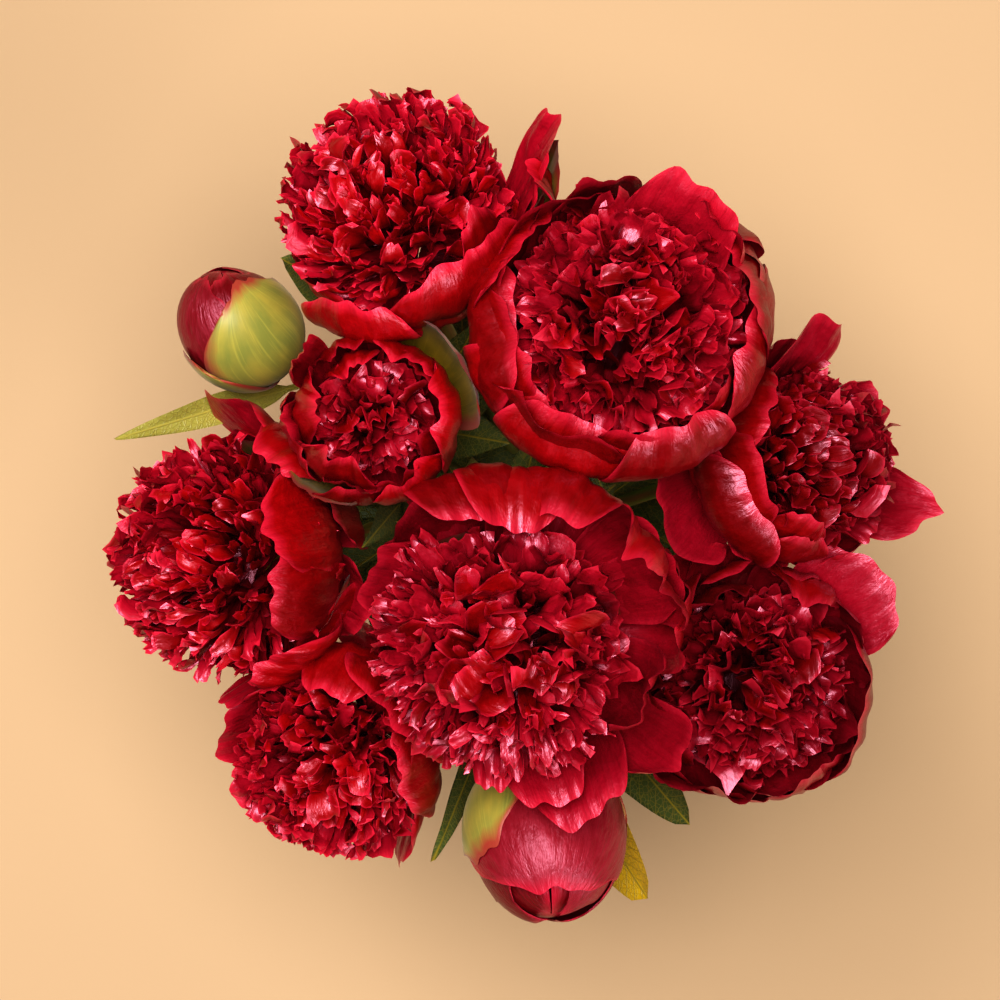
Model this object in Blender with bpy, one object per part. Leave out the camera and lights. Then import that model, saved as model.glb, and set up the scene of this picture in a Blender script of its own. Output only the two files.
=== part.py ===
"""A hand-tied bunch of eight crimson peonies and two buds, standing on its level-cut stems.

Metres, +Z up. The bunch stands on the floor plane z = 0, centred on the origin.
Stems spiral the same way through a narrow waist, where twine ties them, and spread again to a ring of feet.
"""

import math
from collections import namedtuple

import bpy
import numpy as np

# ---- Driving dimensions: metres and degrees -------------------------------------------------

GAP = 0.0003                 # clearance between pieces that touch

WAIST_HEIGHT = 0.170         # where the stems cross
RING_RADIUS = 0.0122         # circle of the eight outer stems at the waist
CORE_RADIUS = 0.0041         # circle of the two inner stems at the waist
RING_START = 12.0            # azimuth that the first outer stem grows towards; the others follow evenly
STEM_LEAD = 82.0             # how far a stem turns round the bunch from its waist to its bloom
FOOT_RADIUS = 0.080          # circle of the outer stems' feet
CORE_FOOT_RADIUS = 0.036     # circle of the inner stems' feet
WAIST_SLANT = 27.0           # slope of the outer stems at the waist, from vertical

STEM_RADIUS = 0.00375
NECK_RADIUS = 0.0030
STEM_SIDES = 8
STEM_STEPS = 6               # segments in each half of a stem

TWINE_BAND = 0.013           # height of the wound twine
TWINE_THICKNESS = 0.0022
TWINE_SIDES = 28

HEART_RUFFLE = 0.025         # depth of the hollows between the inner petals, as a share of the radius
BUD_POINT = 0.2              # how much a bud's upper half draws out to its tip
GUARD_THICKNESS = 0.0010
GUARD_STANDOFF = 0.025       # how much wider than the inner petals the guard petals start, as a share
SEPAL_THICKNESS = 0.0010
SEPAL_CLEARANCE = 0.0014     # between the sepals and the curved petals that they hug
BUD_SEPAL_CLEARANCE = 0.0022
SEPAL_REACH = (0.24, 0.30)   # how far a bloom's sepals rise between and, added, along their middles
BUD_SEPAL_REACH = (0.42, 0.34)
RECEPTACLE_HEIGHT = 0.0045   # swollen end of the stem, which the sepals grow from
LEAF_THICKNESS = 0.0009
LEAF_STATIONS = 10
STALK_SHARE = 0.18           # part of a leaf's length that is bare stalk
STALK_WIDTH = 0.0011
LEAF_TIP_WIDTH = 0.0004
LEAF_FOLD = 0.25             # how far the blade's edges rise above its midrib, as a share of its width

LOBES = 5                    # guard petal lobes and sepals round a bloom
LOBE_SIDES = 6               # points round each lobe of the guard petals
HEART_SIDES = 16
HEART_RINGS = 8
GUARD_RINGS = 4
SEPAL_SIDES = 4              # points round each sepal
SEPAL_RINGS = 3
BUD_SEPAL_RINGS = 6

# azimuth and reach place the middle of the inner petals round the bunch's axis; lean tips the bloom outward;
# radius and depth are the inner petals' half width and half height; wrap is how far up the guard petals
# climb, in degrees from the bottom, and inner_flare and outer_flare how far they stand off on the side
# towards the middle of the bunch and on the other. A bud has no flare: its outer petals are still closed.
Bloom = namedtuple("Bloom", "name azimuth reach height lean radius depth wrap inner_flare outer_flare")

RING_BLOOMS = (
    Bloom("peony_4", 11, 0.120, 0.366, 30, 0.036, 0.031, 76, 0.36, 0.25),
    Bloom("peony_3", 60, 0.086, 0.404, 9, 0.042, 0.034, 104, 0.22, 0.30),
    Bloom("peony_2", 111, 0.132, 0.385, 34, 0.046, 0.037, 76, 0.14, 0.06),
    Bloom("bud_1", 146, 0.134, 0.350, 42, 0.023, 0.026, 130, 0, 0),
    Bloom("peony_7", 189, 0.119, 0.354, 36, 0.049, 0.037, 82, 0.05, 0.05),
    Bloom("peony_6", 234, 0.126, 0.340, 32, 0.039, 0.033, 78, 0.16, 0.14),
    Bloom("bud_2", 276, 0.132, 0.338, 36, 0.030, 0.034, 130, 0, 0),
    Bloom("peony_5", 324.5, 0.118, 0.352, 14, 0.038, 0.032, 98, 0.18, 0.24),
)
CORE_BLOOMS = (
    Bloom("peony_1", 267, 0.051, 0.410, 5, 0.052, 0.038, 72, 0.24, 0.22),
    Bloom("peony_8", 147, 0.068, 0.390, 4, 0.029, 0.028, 100, 0.20, 0.22),
)
CORE_START = 184.0           # azimuth of the first inner stem at the waist; the second is opposite

# grip is the place along the carrying stem, from 0 at the foot to 1 at the neck; azimuth, reach and height
# place the leaf's tip; width is the half width of the blade; bow lifts the middle of the leaf.
Leaf = namedtuple("Leaf", "carrier grip azimuth reach height width bow")

UPPER_LEAVES = (
    Leaf("bud_1", 0.95, 170, 0.166, 0.360, 0.0045, 0.004),
    Leaf("peony_2", 0.85, 133, 0.141, 0.360, 0.010, -0.010),
    Leaf("peony_8", 0.85, 100, 0.080, 0.350, 0.010, 0.004),
    Leaf("peony_1", 0.80, 75, 0.038, 0.360, 0.010, 0.000),
    Leaf("peony_8", 0.78, 194, 0.064, 0.358, 0.006, 0.000),
    Leaf("bud_2", 0.80, 257, 0.148, 0.350, 0.004, -0.012),
    Leaf("bud_2", 0.84, 286, 0.163, 0.308, 0.009, -0.004),
    Leaf("bud_2", 0.75, 300, 0.151, 0.330, 0.010, -0.002),
    Leaf("peony_1", 0.75, 17, 0.045, 0.365, 0.009, 0.000),
)
LOWER_LEAF_GRIPS = (0.66, 0.60)      # the outer stems carry one lower leaf each, in turn at these places
LOWER_LEAF_REACHES = (0.118, 0.100)
LOWER_LEAF_HEIGHTS = (0.264, 0.226)
LOWER_LEAF_TURN = 16.0                # azimuth of a lower leaf's tip from the bloom above it
LOWER_LEAF_WIDTH = 0.014
LOWER_LEAF_BOW = 0.006

PETAL_ROUGHNESS = 0.45
GREEN_ROUGHNESS = 0.5
TWINE_ROUGHNESS = 0.9
COLOURS = {
    "crimson": (0.42, 0.006, 0.016),
    "deep_crimson": (0.28, 0.002, 0.008),
    "sepal_green": (0.33, 0.35, 0.07),
    "stem_green": (0.16, 0.22, 0.05),
    "leaf_green": (0.07, 0.12, 0.02),
    "jute": (0.48, 0.34, 0.18),
}
CREASE_ANGLE = 50.0


# ---- Small helpers --------------------------------------------------------------------------

def polar(azimuth, reach, height=0.0):
    """Point at an azimuth in degrees, a distance from the axis and a height."""
    angle = math.radians(azimuth)
    return np.array([reach * math.cos(angle), reach * math.sin(angle), height])


def unit(vector):
    return vector / np.linalg.norm(vector)


def make_material(name, colour, roughness):
    material = bpy.data.materials.new(name)
    material.use_nodes = True
    shader = material.node_tree.nodes["Principled BSDF"]
    shader.inputs["Base Color"].default_value = (*colour, 1)
    shader.inputs["Roughness"].default_value = roughness
    shader.inputs["Metallic"].default_value = 0
    return material


def make_piece(name, points, faces, colour_name, roughness):
    """One closed piece with its own material and its origin at the middle of its points."""
    middle = np.mean(points, axis=0)
    mesh = bpy.data.meshes.new(name)
    mesh.from_pydata([tuple(point - middle) for point in points], [], faces)
    mesh.shade_smooth()
    mesh.set_sharp_from_angle(angle=math.radians(CREASE_ANGLE))
    mesh.materials.append(make_material(name, COLOURS[colour_name], roughness))
    piece = bpy.data.objects.new(name, mesh)
    piece.location = middle
    bpy.context.scene.collection.objects.link(piece)
    return piece


def split_quad(points, corners):
    """Two triangles across the shorter diagonal, so that the two sides of a thin wall are split alike."""
    a, b, c, d = corners
    if np.linalg.norm(points[a] - points[c]) <= np.linalg.norm(points[b] - points[d]):
        return [(a, b, c), (a, c, d)]
    return [(a, b, d), (b, c, d)]


def loft(rings, first_pole=None, last_pole=None, closed=False):
    """Points and faces of a body through rings of points.

    Each ring runs anticlockwise seen from ahead. An end closes in a flat face, or in a fan round its pole.
    A closed loft joins its last ring to its first.
    """
    count = len(rings[0])
    points = [point for ring in rings for point in ring]
    faces = []
    spans = len(rings) if closed else len(rings) - 1
    for level in range(spans):
        low = level * count
        high = (level + 1) % len(rings) * count
        for side in range(count):
            after = (side + 1) % count
            faces += split_quad(points, (low + side, low + after, high + after, high + side))
    if closed:
        return points, faces
    last = (len(rings) - 1) * count
    if first_pole is None:
        faces.append(tuple(reversed(range(count))))
    else:
        points.append(first_pole)
        faces += [((side + 1) % count, side, len(points) - 1) for side in range(count)]
    if last_pole is None:
        faces.append(tuple(range(last, last + count)))
    else:
        points.append(last_pole)
        faces += [(last + side, last + (side + 1) % count, len(points) - 1) for side in range(count)]
    return points, faces


# ---- Blooms and buds ------------------------------------------------------------------------

def facing(bloom):
    """Direction that a bloom faces: up, tipped outward by its lean."""
    lean = math.radians(bloom.lean)
    return polar(bloom.azimuth, math.sin(lean), math.cos(lean))


def from_bloom(bloom, outward, sideways, up):
    """Point given in a bloom's own directions from the middle of its inner petals."""
    side_axis = polar(bloom.azimuth + 90, 1)
    out_axis = np.cross(side_axis, facing(bloom))
    middle = polar(bloom.azimuth, bloom.reach, bloom.height)
    return middle + outward * out_axis + sideways * side_axis + up * facing(bloom)


def is_bud(bloom):
    return bloom.name.startswith("bud")


def dome_point(bloom, turn, climb, swell):
    """Point on the flattened ball that a bloom's inner petals fill, or on a bud's egg, grown by swell."""
    height = -bloom.depth * swell * math.cos(climb)
    if is_bud(bloom) and height > 0:
        height *= 1 - BUD_POINT * math.cos(climb)
    radius = bloom.radius * swell * math.sin(climb)
    return from_bloom(bloom, radius * math.cos(turn), radius * math.sin(turn), height)


def heart_point(bloom, turn, climb):
    """Point on the crowd of inner petals, by its turn round the bloom and its climb from the bottom."""
    ruffle = 0.0 if is_bud(bloom) else HEART_RUFFLE * math.sin(climb) * (1 + math.sin(4 * turn + 5 * climb))
    return dome_point(bloom, turn, climb, 1 - ruffle)


def guard_surface(bloom, turn, rise):
    """Point on the inside of the guard petals, by turn and by rise from 0 at the base to 1 at the rim."""
    lobe = 0.12 * math.cos(LOBES * turn)
    climb = math.radians(bloom.wrap) * rise * (1 + lobe)
    outer_share = (1 + math.cos(turn)) / 2
    flare = bloom.inner_flare + (bloom.outer_flare - bloom.inner_flare) * outer_share
    return dome_point(bloom, turn, climb, 1 + GUARD_STANDOFF + flare * rise ** 1.6)


def guard_offset(bloom, turn, rise, outset):
    """The same point moved outward, square to the guard petals."""
    step = 0.01
    point = guard_surface(bloom, turn, rise)
    across = guard_surface(bloom, turn + step, rise) - point
    along = guard_surface(bloom, turn, rise + step) - point
    return point + outset * unit(np.cross(across, along))


def turns(count):
    return [2 * math.pi * side / count for side in range(count)]


def seat_depth(bloom):
    """How far under the bloom's middle its guard petals, or a bud's closed petals, end."""
    if is_bud(bloom):
        return bloom.depth
    return bloom.depth * (1 + GUARD_STANDOFF) + GUARD_THICKNESS


def neck_depth(bloom):
    """How far under the bloom's middle the stem ends."""
    return seat_depth(bloom) + GAP + RECEPTACLE_HEIGHT + GAP


def make_heart(bloom):
    """The crowd of inner petals of a bloom, or the closed petals of a bud."""
    climbs = [math.pi * ring / (HEART_RINGS + 1) for ring in range(1, HEART_RINGS + 1)]
    rings = [[heart_point(bloom, turn, climb) for turn in turns(HEART_SIDES)] for climb in climbs]
    bottom = heart_point(bloom, 0, 0)
    top = heart_point(bloom, 0, math.pi)
    part = "closed_petals" if is_bud(bloom) else "inner_petals"
    make_piece(f"{bloom.name}_{part}", *loft(rings, bottom, top), "deep_crimson", PETAL_ROUGHNESS)


def make_guards(bloom):
    """The broad guard petals, joined at their feet in one lobed cup."""
    around = turns(LOBES * LOBE_SIDES)
    rises = [ring / GUARD_RINGS for ring in range(1, GUARD_RINGS + 1)]
    outer = [[guard_offset(bloom, turn, rise, GUARD_THICKNESS) for turn in around] for rise in rises]
    inner = [[guard_surface(bloom, turn, rise) for turn in around] for rise in reversed(rises)]
    outer_pole = from_bloom(bloom, 0, 0, -seat_depth(bloom))
    inner_pole = from_bloom(bloom, 0, 0, -bloom.depth - GAP)
    faces = loft(outer + inner, outer_pole, inner_pole)
    make_piece(f"{bloom.name}_guard_petals", *faces, "crimson", PETAL_ROUGHNESS)


def make_sepals(bloom):
    """Five sepals on the swollen end of the stem, lying against the petals above them."""
    shortest, extra = BUD_SEPAL_REACH if is_bud(bloom) else SEPAL_REACH
    inset = BUD_SEPAL_CLEARANCE if is_bud(bloom) else GUARD_THICKNESS + SEPAL_CLEARANCE
    levels = BUD_SEPAL_RINGS if is_bud(bloom) else SEPAL_RINGS
    around = turns(LOBES * SEPAL_SIDES)
    outer, inner = [], []
    for ring in range(1, levels + 1):
        rises = [(shortest + extra * abs(math.cos(LOBES * turn / 2))) * ring / levels for turn in around]
        pairs = list(zip(around, rises))
        outer.append([guard_offset(bloom, turn, rise, inset + SEPAL_THICKNESS) for turn, rise in pairs])
        inner.append([guard_offset(bloom, turn, rise, inset) for turn, rise in pairs])
    outer_pole = from_bloom(bloom, 0, 0, GAP - neck_depth(bloom))
    inner_pole = from_bloom(bloom, 0, 0, -seat_depth(bloom) - GAP)
    faces = loft(outer + inner[::-1], outer_pole, inner_pole)
    make_piece(f"{bloom.name}_sepals", *faces, "sepal_green", GREEN_ROUGHNESS)


# ---- Stems ----------------------------------------------------------------------------------

def blend_curve(start, start_pull, end, end_pull, share):
    """Point and direction at a share of a smooth curve that leaves start and enters end along their pulls."""
    s = share
    point = (
        (2 * s ** 3 - 3 * s ** 2 + 1) * start + (s ** 3 - 2 * s ** 2 + s) * start_pull
        + (3 * s ** 2 - 2 * s ** 3) * end + (s ** 3 - s ** 2) * end_pull
    )
    slope = (
        (6 * s ** 2 - 6 * s) * start + (3 * s ** 2 - 4 * s + 1) * start_pull
        + (6 * s - 6 * s ** 2) * end + (3 * s ** 2 - 2 * s) * end_pull
    )
    return point, unit(slope)


def stem_knots(bloom):
    """Foot, waist and neck of a bloom's stem, and its direction at the waist."""
    neck = from_bloom(bloom, 0, 0, -neck_depth(bloom))
    if bloom in RING_BLOOMS:
        spacing = 360 / len(RING_BLOOMS)
        waist_azimuth = RING_START + spacing * RING_BLOOMS.index(bloom) - STEM_LEAD
        foot = polar(waist_azimuth - STEM_LEAD, FOOT_RADIUS)
        waist = polar(waist_azimuth, RING_RADIUS, WAIST_HEIGHT)
        slant = math.radians(WAIST_SLANT)
        direction = polar(waist_azimuth + 90, math.sin(slant), math.cos(slant))
        return foot, waist, neck, direction
    waist_azimuth = CORE_START + 180 * CORE_BLOOMS.index(bloom)
    foot = polar(bloom.azimuth + 180, CORE_FOOT_RADIUS)
    waist = polar(waist_azimuth, CORE_RADIUS, WAIST_HEIGHT)
    return foot, waist, neck, unit(neck - foot)


def stem_at(bloom, share):
    """Middle, direction and radius of a stem at a share of its length, from foot to neck."""
    foot, waist, neck, direction = stem_knots(bloom)
    if share < 0.5:
        span = np.linalg.norm(waist - foot)
        point, heading = blend_curve(foot, waist - foot, waist, span * direction, 2 * share)
    else:
        span = np.linalg.norm(neck - waist)
        point, heading = blend_curve(waist, span * direction, neck, span * facing(bloom), 2 * share - 1)
    return point, heading, STEM_RADIUS + (NECK_RADIUS - STEM_RADIUS) * share


def make_stem(bloom):
    """A tapering stem from its level cut at z = 0 to the swollen end under the bloom."""
    steps = 2 * STEM_STEPS
    side_axis = polar(bloom.azimuth, 1)
    rings = []
    for step in range(steps + 1):
        middle, heading, radius = stem_at(bloom, step / steps)
        side_axis = unit(side_axis - np.dot(side_axis, heading) * heading)
        other_axis = np.cross(heading, side_axis)
        ring = [
            middle + radius * (math.cos(turn) * side_axis + math.sin(turn) * other_axis)
            for turn in turns(STEM_SIDES)
        ]
        if step == 0:
            ring = [point - heading * point[2] / heading[2] for point in ring]
        rings.append(ring)
    make_piece(f"{bloom.name}_stem", *loft(rings), "stem_green", GREEN_ROUGHNESS)


# ---- Twine ----------------------------------------------------------------------------------

def stem_spread(low, high):
    """Largest distance of the stems' surfaces from the bunch's axis between two heights."""
    reach = 0.0
    for bloom in RING_BLOOMS:
        for share in np.linspace(0, 1, 120):
            middle, heading, radius = stem_at(bloom, share)
            if low <= middle[2] <= high:
                reach = max(reach, math.hypot(middle[0], middle[1]) + radius / heading[2])
    return reach


def make_twine():
    """The wound twine as one band round all the stems."""
    low = WAIST_HEIGHT - TWINE_BAND / 2
    high = WAIST_HEIGHT + TWINE_BAND / 2
    inner = stem_spread(low, high) + GAP
    outer = inner + TWINE_THICKNESS
    edge = TWINE_THICKNESS / 2
    profile = (
        (inner + edge, high), (outer, high - edge), (outer, low + edge),
        (inner + edge, low), (inner, low + edge / 2), (inner, high - edge / 2),
    )
    rings = [
        [polar(math.degrees(turn), radius, height) for radius, height in profile]
        for turn in turns(TWINE_SIDES)
    ]
    make_piece("twine_tie", *loft(rings, closed=True), "jute", TWINE_ROUGHNESS)


# ---- Leaves ---------------------------------------------------------------------------------

def find_bloom(name):
    return next(bloom for bloom in RING_BLOOMS + CORE_BLOOMS if bloom.name == name)


def leaf_half_width(leaf, share):
    """Half width of a leaf: a narrow stalk, then a blade like a spearhead."""
    if share <= STALK_SHARE:
        return STALK_WIDTH
    along = (share - STALK_SHARE) / (1 - STALK_SHARE)
    return LEAF_TIP_WIDTH + (1 - along) * STALK_WIDTH + leaf.width * math.sin(math.pi * along ** 0.8)


def make_leaf(name, leaf):
    """A thin leaf, folded along its midrib, from its carrying stem to its tip."""
    root, heading, radius = stem_at(find_bloom(leaf.carrier), leaf.grip)
    tip = polar(leaf.azimuth, leaf.reach, leaf.height)
    leave = tip - root
    leave = unit(leave - np.dot(leave, heading) * heading)
    base = root + (radius + GAP) * leave
    bend = (base + tip) / 2 + np.array([0, 0, 2 * leaf.bow])
    level = np.array([tip[0] - base[0], tip[1] - base[1], 0])
    side_axis = unit(np.cross([0, 0, 1], level))
    rings = []
    for station in range(LEAF_STATIONS + 1):
        share = station / LEAF_STATIONS
        middle = (1 - share) ** 2 * base + 2 * share * (1 - share) * bend + share ** 2 * tip
        along = leave if station == 0 else unit((1 - share) * (bend - base) + share * (tip - bend))
        across_axis = unit(side_axis - np.dot(side_axis, along) * along)
        up_axis = np.cross(along, across_axis)
        half = leaf_half_width(leaf, share)
        fold = LEAF_FOLD * (half - LEAF_TIP_WIDTH)
        half_thickness = LEAF_THICKNESS / 2
        outline = (
            (half, fold + half_thickness), (0, half_thickness), (-half, fold + half_thickness),
            (-half, fold - half_thickness), (0, -half_thickness), (half, fold - half_thickness),
        )
        rings.append([middle + across * across_axis + up * up_axis for across, up in outline])
    make_piece(name, *loft(rings), "leaf_green", GREEN_ROUGHNESS)


def lower_leaves():
    """One leaf low on each outer stem, in turn higher and lower."""
    for index, bloom in enumerate(RING_BLOOMS):
        turn = index % 2
        yield Leaf(
            bloom.name, LOWER_LEAF_GRIPS[turn], bloom.azimuth + LOWER_LEAF_TURN,
            LOWER_LEAF_REACHES[turn], LOWER_LEAF_HEIGHTS[turn], LOWER_LEAF_WIDTH, LOWER_LEAF_BOW,
        )


# ---- The whole bunch ------------------------------------------------------------------------

def clear_scene():
    for old in list(bpy.data.objects):
        bpy.data.objects.remove(old)


def stand_on_origin():
    """Centre the bunch's outline on the origin; its feet are already at z = 0."""
    bpy.context.view_layer.update()
    pieces = list(bpy.context.scene.objects)
    corners = np.array([piece.matrix_world @ vertex.co for piece in pieces for vertex in piece.data.vertices])
    middle = (corners.min(axis=0) + corners.max(axis=0)) / 2
    for piece in pieces:
        piece.location.x -= middle[0]
        piece.location.y -= middle[1]


def build():
    clear_scene()
    for bloom in RING_BLOOMS + CORE_BLOOMS:
        make_stem(bloom)
        make_heart(bloom)
        if not is_bud(bloom):
            make_guards(bloom)
        make_sepals(bloom)
    make_twine()
    for number, leaf in enumerate([*UPPER_LEAVES, *lower_leaves()], start=1):
        make_leaf(f"leaf_{number:02d}", leaf)
    stand_on_origin()


build()
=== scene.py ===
"""A bunch of eight crimson peonies and two buds, petal by petal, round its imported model.

Metres, +Z up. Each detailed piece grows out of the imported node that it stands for.
Compass directions are degrees anticlockwise from +X, seen from above.
"""

import math
from collections import namedtuple

import bpy
import numpy as np
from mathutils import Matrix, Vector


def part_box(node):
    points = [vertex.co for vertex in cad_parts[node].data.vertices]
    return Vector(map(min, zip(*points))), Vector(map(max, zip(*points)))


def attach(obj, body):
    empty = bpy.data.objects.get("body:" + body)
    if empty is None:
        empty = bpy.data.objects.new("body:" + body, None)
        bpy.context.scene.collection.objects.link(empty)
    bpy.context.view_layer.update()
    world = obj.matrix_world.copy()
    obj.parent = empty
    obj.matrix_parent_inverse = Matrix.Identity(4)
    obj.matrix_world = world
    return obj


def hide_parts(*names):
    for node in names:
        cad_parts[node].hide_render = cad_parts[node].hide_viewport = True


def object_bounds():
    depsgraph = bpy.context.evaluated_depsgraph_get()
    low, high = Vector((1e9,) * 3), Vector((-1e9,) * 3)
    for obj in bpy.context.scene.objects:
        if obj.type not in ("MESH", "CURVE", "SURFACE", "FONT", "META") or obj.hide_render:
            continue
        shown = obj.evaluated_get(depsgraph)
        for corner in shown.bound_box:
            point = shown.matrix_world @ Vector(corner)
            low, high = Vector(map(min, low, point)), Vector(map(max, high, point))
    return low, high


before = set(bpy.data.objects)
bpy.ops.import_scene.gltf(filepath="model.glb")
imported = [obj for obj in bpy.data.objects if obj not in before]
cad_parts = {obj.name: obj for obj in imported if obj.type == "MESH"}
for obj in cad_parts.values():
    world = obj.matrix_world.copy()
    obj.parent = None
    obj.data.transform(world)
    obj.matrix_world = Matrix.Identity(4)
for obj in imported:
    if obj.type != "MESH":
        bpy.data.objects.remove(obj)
PACKED_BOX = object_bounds()

bl_info = {
    "name": "Bunch of Peonies",
    "version": (1, 0, 0),
    "blender": (4, 5, 0),
    "location": "View3D > Sidebar > Peonies",
    "description": "Builds the petals, sepals, leaves, stems and tie of a bunch of peonies",
    "category": "Add Mesh",
}

MM = 0.001
BODY = "root"
UPRIGHT = np.array([0.0, 0.0, 1.0])

# The angle from which an edge between two faces is drawn sharp.
CREASE = math.radians(75)

# Thickness of inner petals, of the broad ones among them, of bud petals, of sepals and of leaves, in
# metres.
INNER_THICK = 0.0004
ROW_THICK = 0.0005
BUD_THICK = 0.0007
SEPAL_THICK = 0.0009
LEAF_THICK = 0.0006

# Crowds with petals broader than this, in millimetres, have more columns in each.
BROAD_FROM = 20
# A broad petal whose tip points further in than this, in degrees, is rolled over, with a straighter rim.
ROLLED_FROM = 138
# A bud petal with a greater span than this, in degrees, closes all the way round and has an even rim.
CLOSED_FROM = 120

# How far apart the feet of broad petals lie and how deep their pleats are, in metres.
LAYER_GAP = 0.0003
PLEAT_DEPTH = 0.00034

# Stems: places along each, sides of a tube, radius at the foot and what it loses by the top, in
# metres, and where the joints are, as shares of the length.
STEM_POINTS = 84
TUBE_SIDES = 12
STEM_RADIUS = 0.00365
STEM_TAPER = 0.0008
STEM_JOINTS = (0.12, 0.36, 0.62, 0.82)

# How steeply a leaf folds up from its midrib, how far its edge waves, in millimetres, and how much
# twine its strands take to turn once, in metres.
LEAF_FOLD = 0.22
LEAF_WAVE = 1.4
TWIST_PITCH = 0.0042


# ---- The flowers ------------------------------------------------------------------------

# A broad petal. compass: where it stands round the bloom; span: half its width, in degrees of turn;
# reach and rise: how far its rim ends out from and above the bloom's middle, in millimetres; tip:
# which way the rim points in the upright plane, from 0 outward through 90 up to 180 inward; belly:
# how far it bulges before the rim; wave: millimetres of ruffle; roll: degrees by which the last of
# the rim rolls inward, or outward if negative; peak: how far its middle draws out; level: whether
# reach and rise are level and upright, or follow the tilt of the bloom.
Guard = namedtuple("Guard", "compass span reach rise tip belly wave roll peak level", defaults=(0, 0, True))

# A point that inner petals lie over towards. tilt: degrees down from the middle of the bloom.
Swirl = namedtuple("Swirl", "compass tilt")

# A crowd of inner petals. count: petals; tilt: from and to, in degrees down from the middle of the
# bloom; compass and fan: the middle and half the width of the sector they fill; width and length:
# millimetres, smallest and largest; lay: degrees by which they lie over towards their swirl; scatter:
# spread of that; teeth and ruffle: millimetres; jumble: degrees of disorder; out: share of the
# bloom's radius at which they end, smallest and largest.
Crowd = namedtuple("Crowd", "count tilt compass fan width length lay scatter teeth ruffle jumble out")

# The inside of a bloom. nod: degrees by which its middle tips outward beyond its own lean; tone: how
# bright its inner and its guard petals are.
Heart = namedtuple("Heart", "nod tone swirls crowds")


def bed(count, width=(13, 20)):
    """Petals deep inside a bloom, which close the gaps between those that show; ending so deep, they are
    mostly in painted shade.
    """
    return Crowd(count, (0, 120), 0, 180, width, (16, 22), 40, 15, 0.8, 1.0, 20, (0.56, 0.70))


def row(count, start, span, reach, rise, tip, belly, wave, roll=0):
    """A ring of like petals, no two quite alike."""
    return tuple(
        Guard(
            start + 360 * place / count + 7 * math.sin(3.1 * place), span * (1 + 0.2 * math.sin(5.3 * place)),
            reach * (1 + 0.06 * math.sin(2.3 * place + 1)), rise + 3 * math.sin(4.1 * place),
            tip + 18 * math.sin(1.7 * place), belly, wave * (1 + 0.3 * math.sin(2.9 * place)),
            roll * math.sin(2.1 * place + 0.5), 0, False,
        )
        for place in range(count)
    )


def skirt(reach, rise, *ways):
    """Low guard petals that close the underside of a bloom."""
    return tuple(Guard(way, 34, reach, rise, 75, 0.9, 1.6, 0, 0, False) for way in ways)


def calyx(reach, rise, *ways):
    """Short sepals that hug the underside of a bloom."""
    return tuple(Guard(way, 26, reach, rise, 60, 0.9, 0.5, 0, 0, False) for way in ways)


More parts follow.
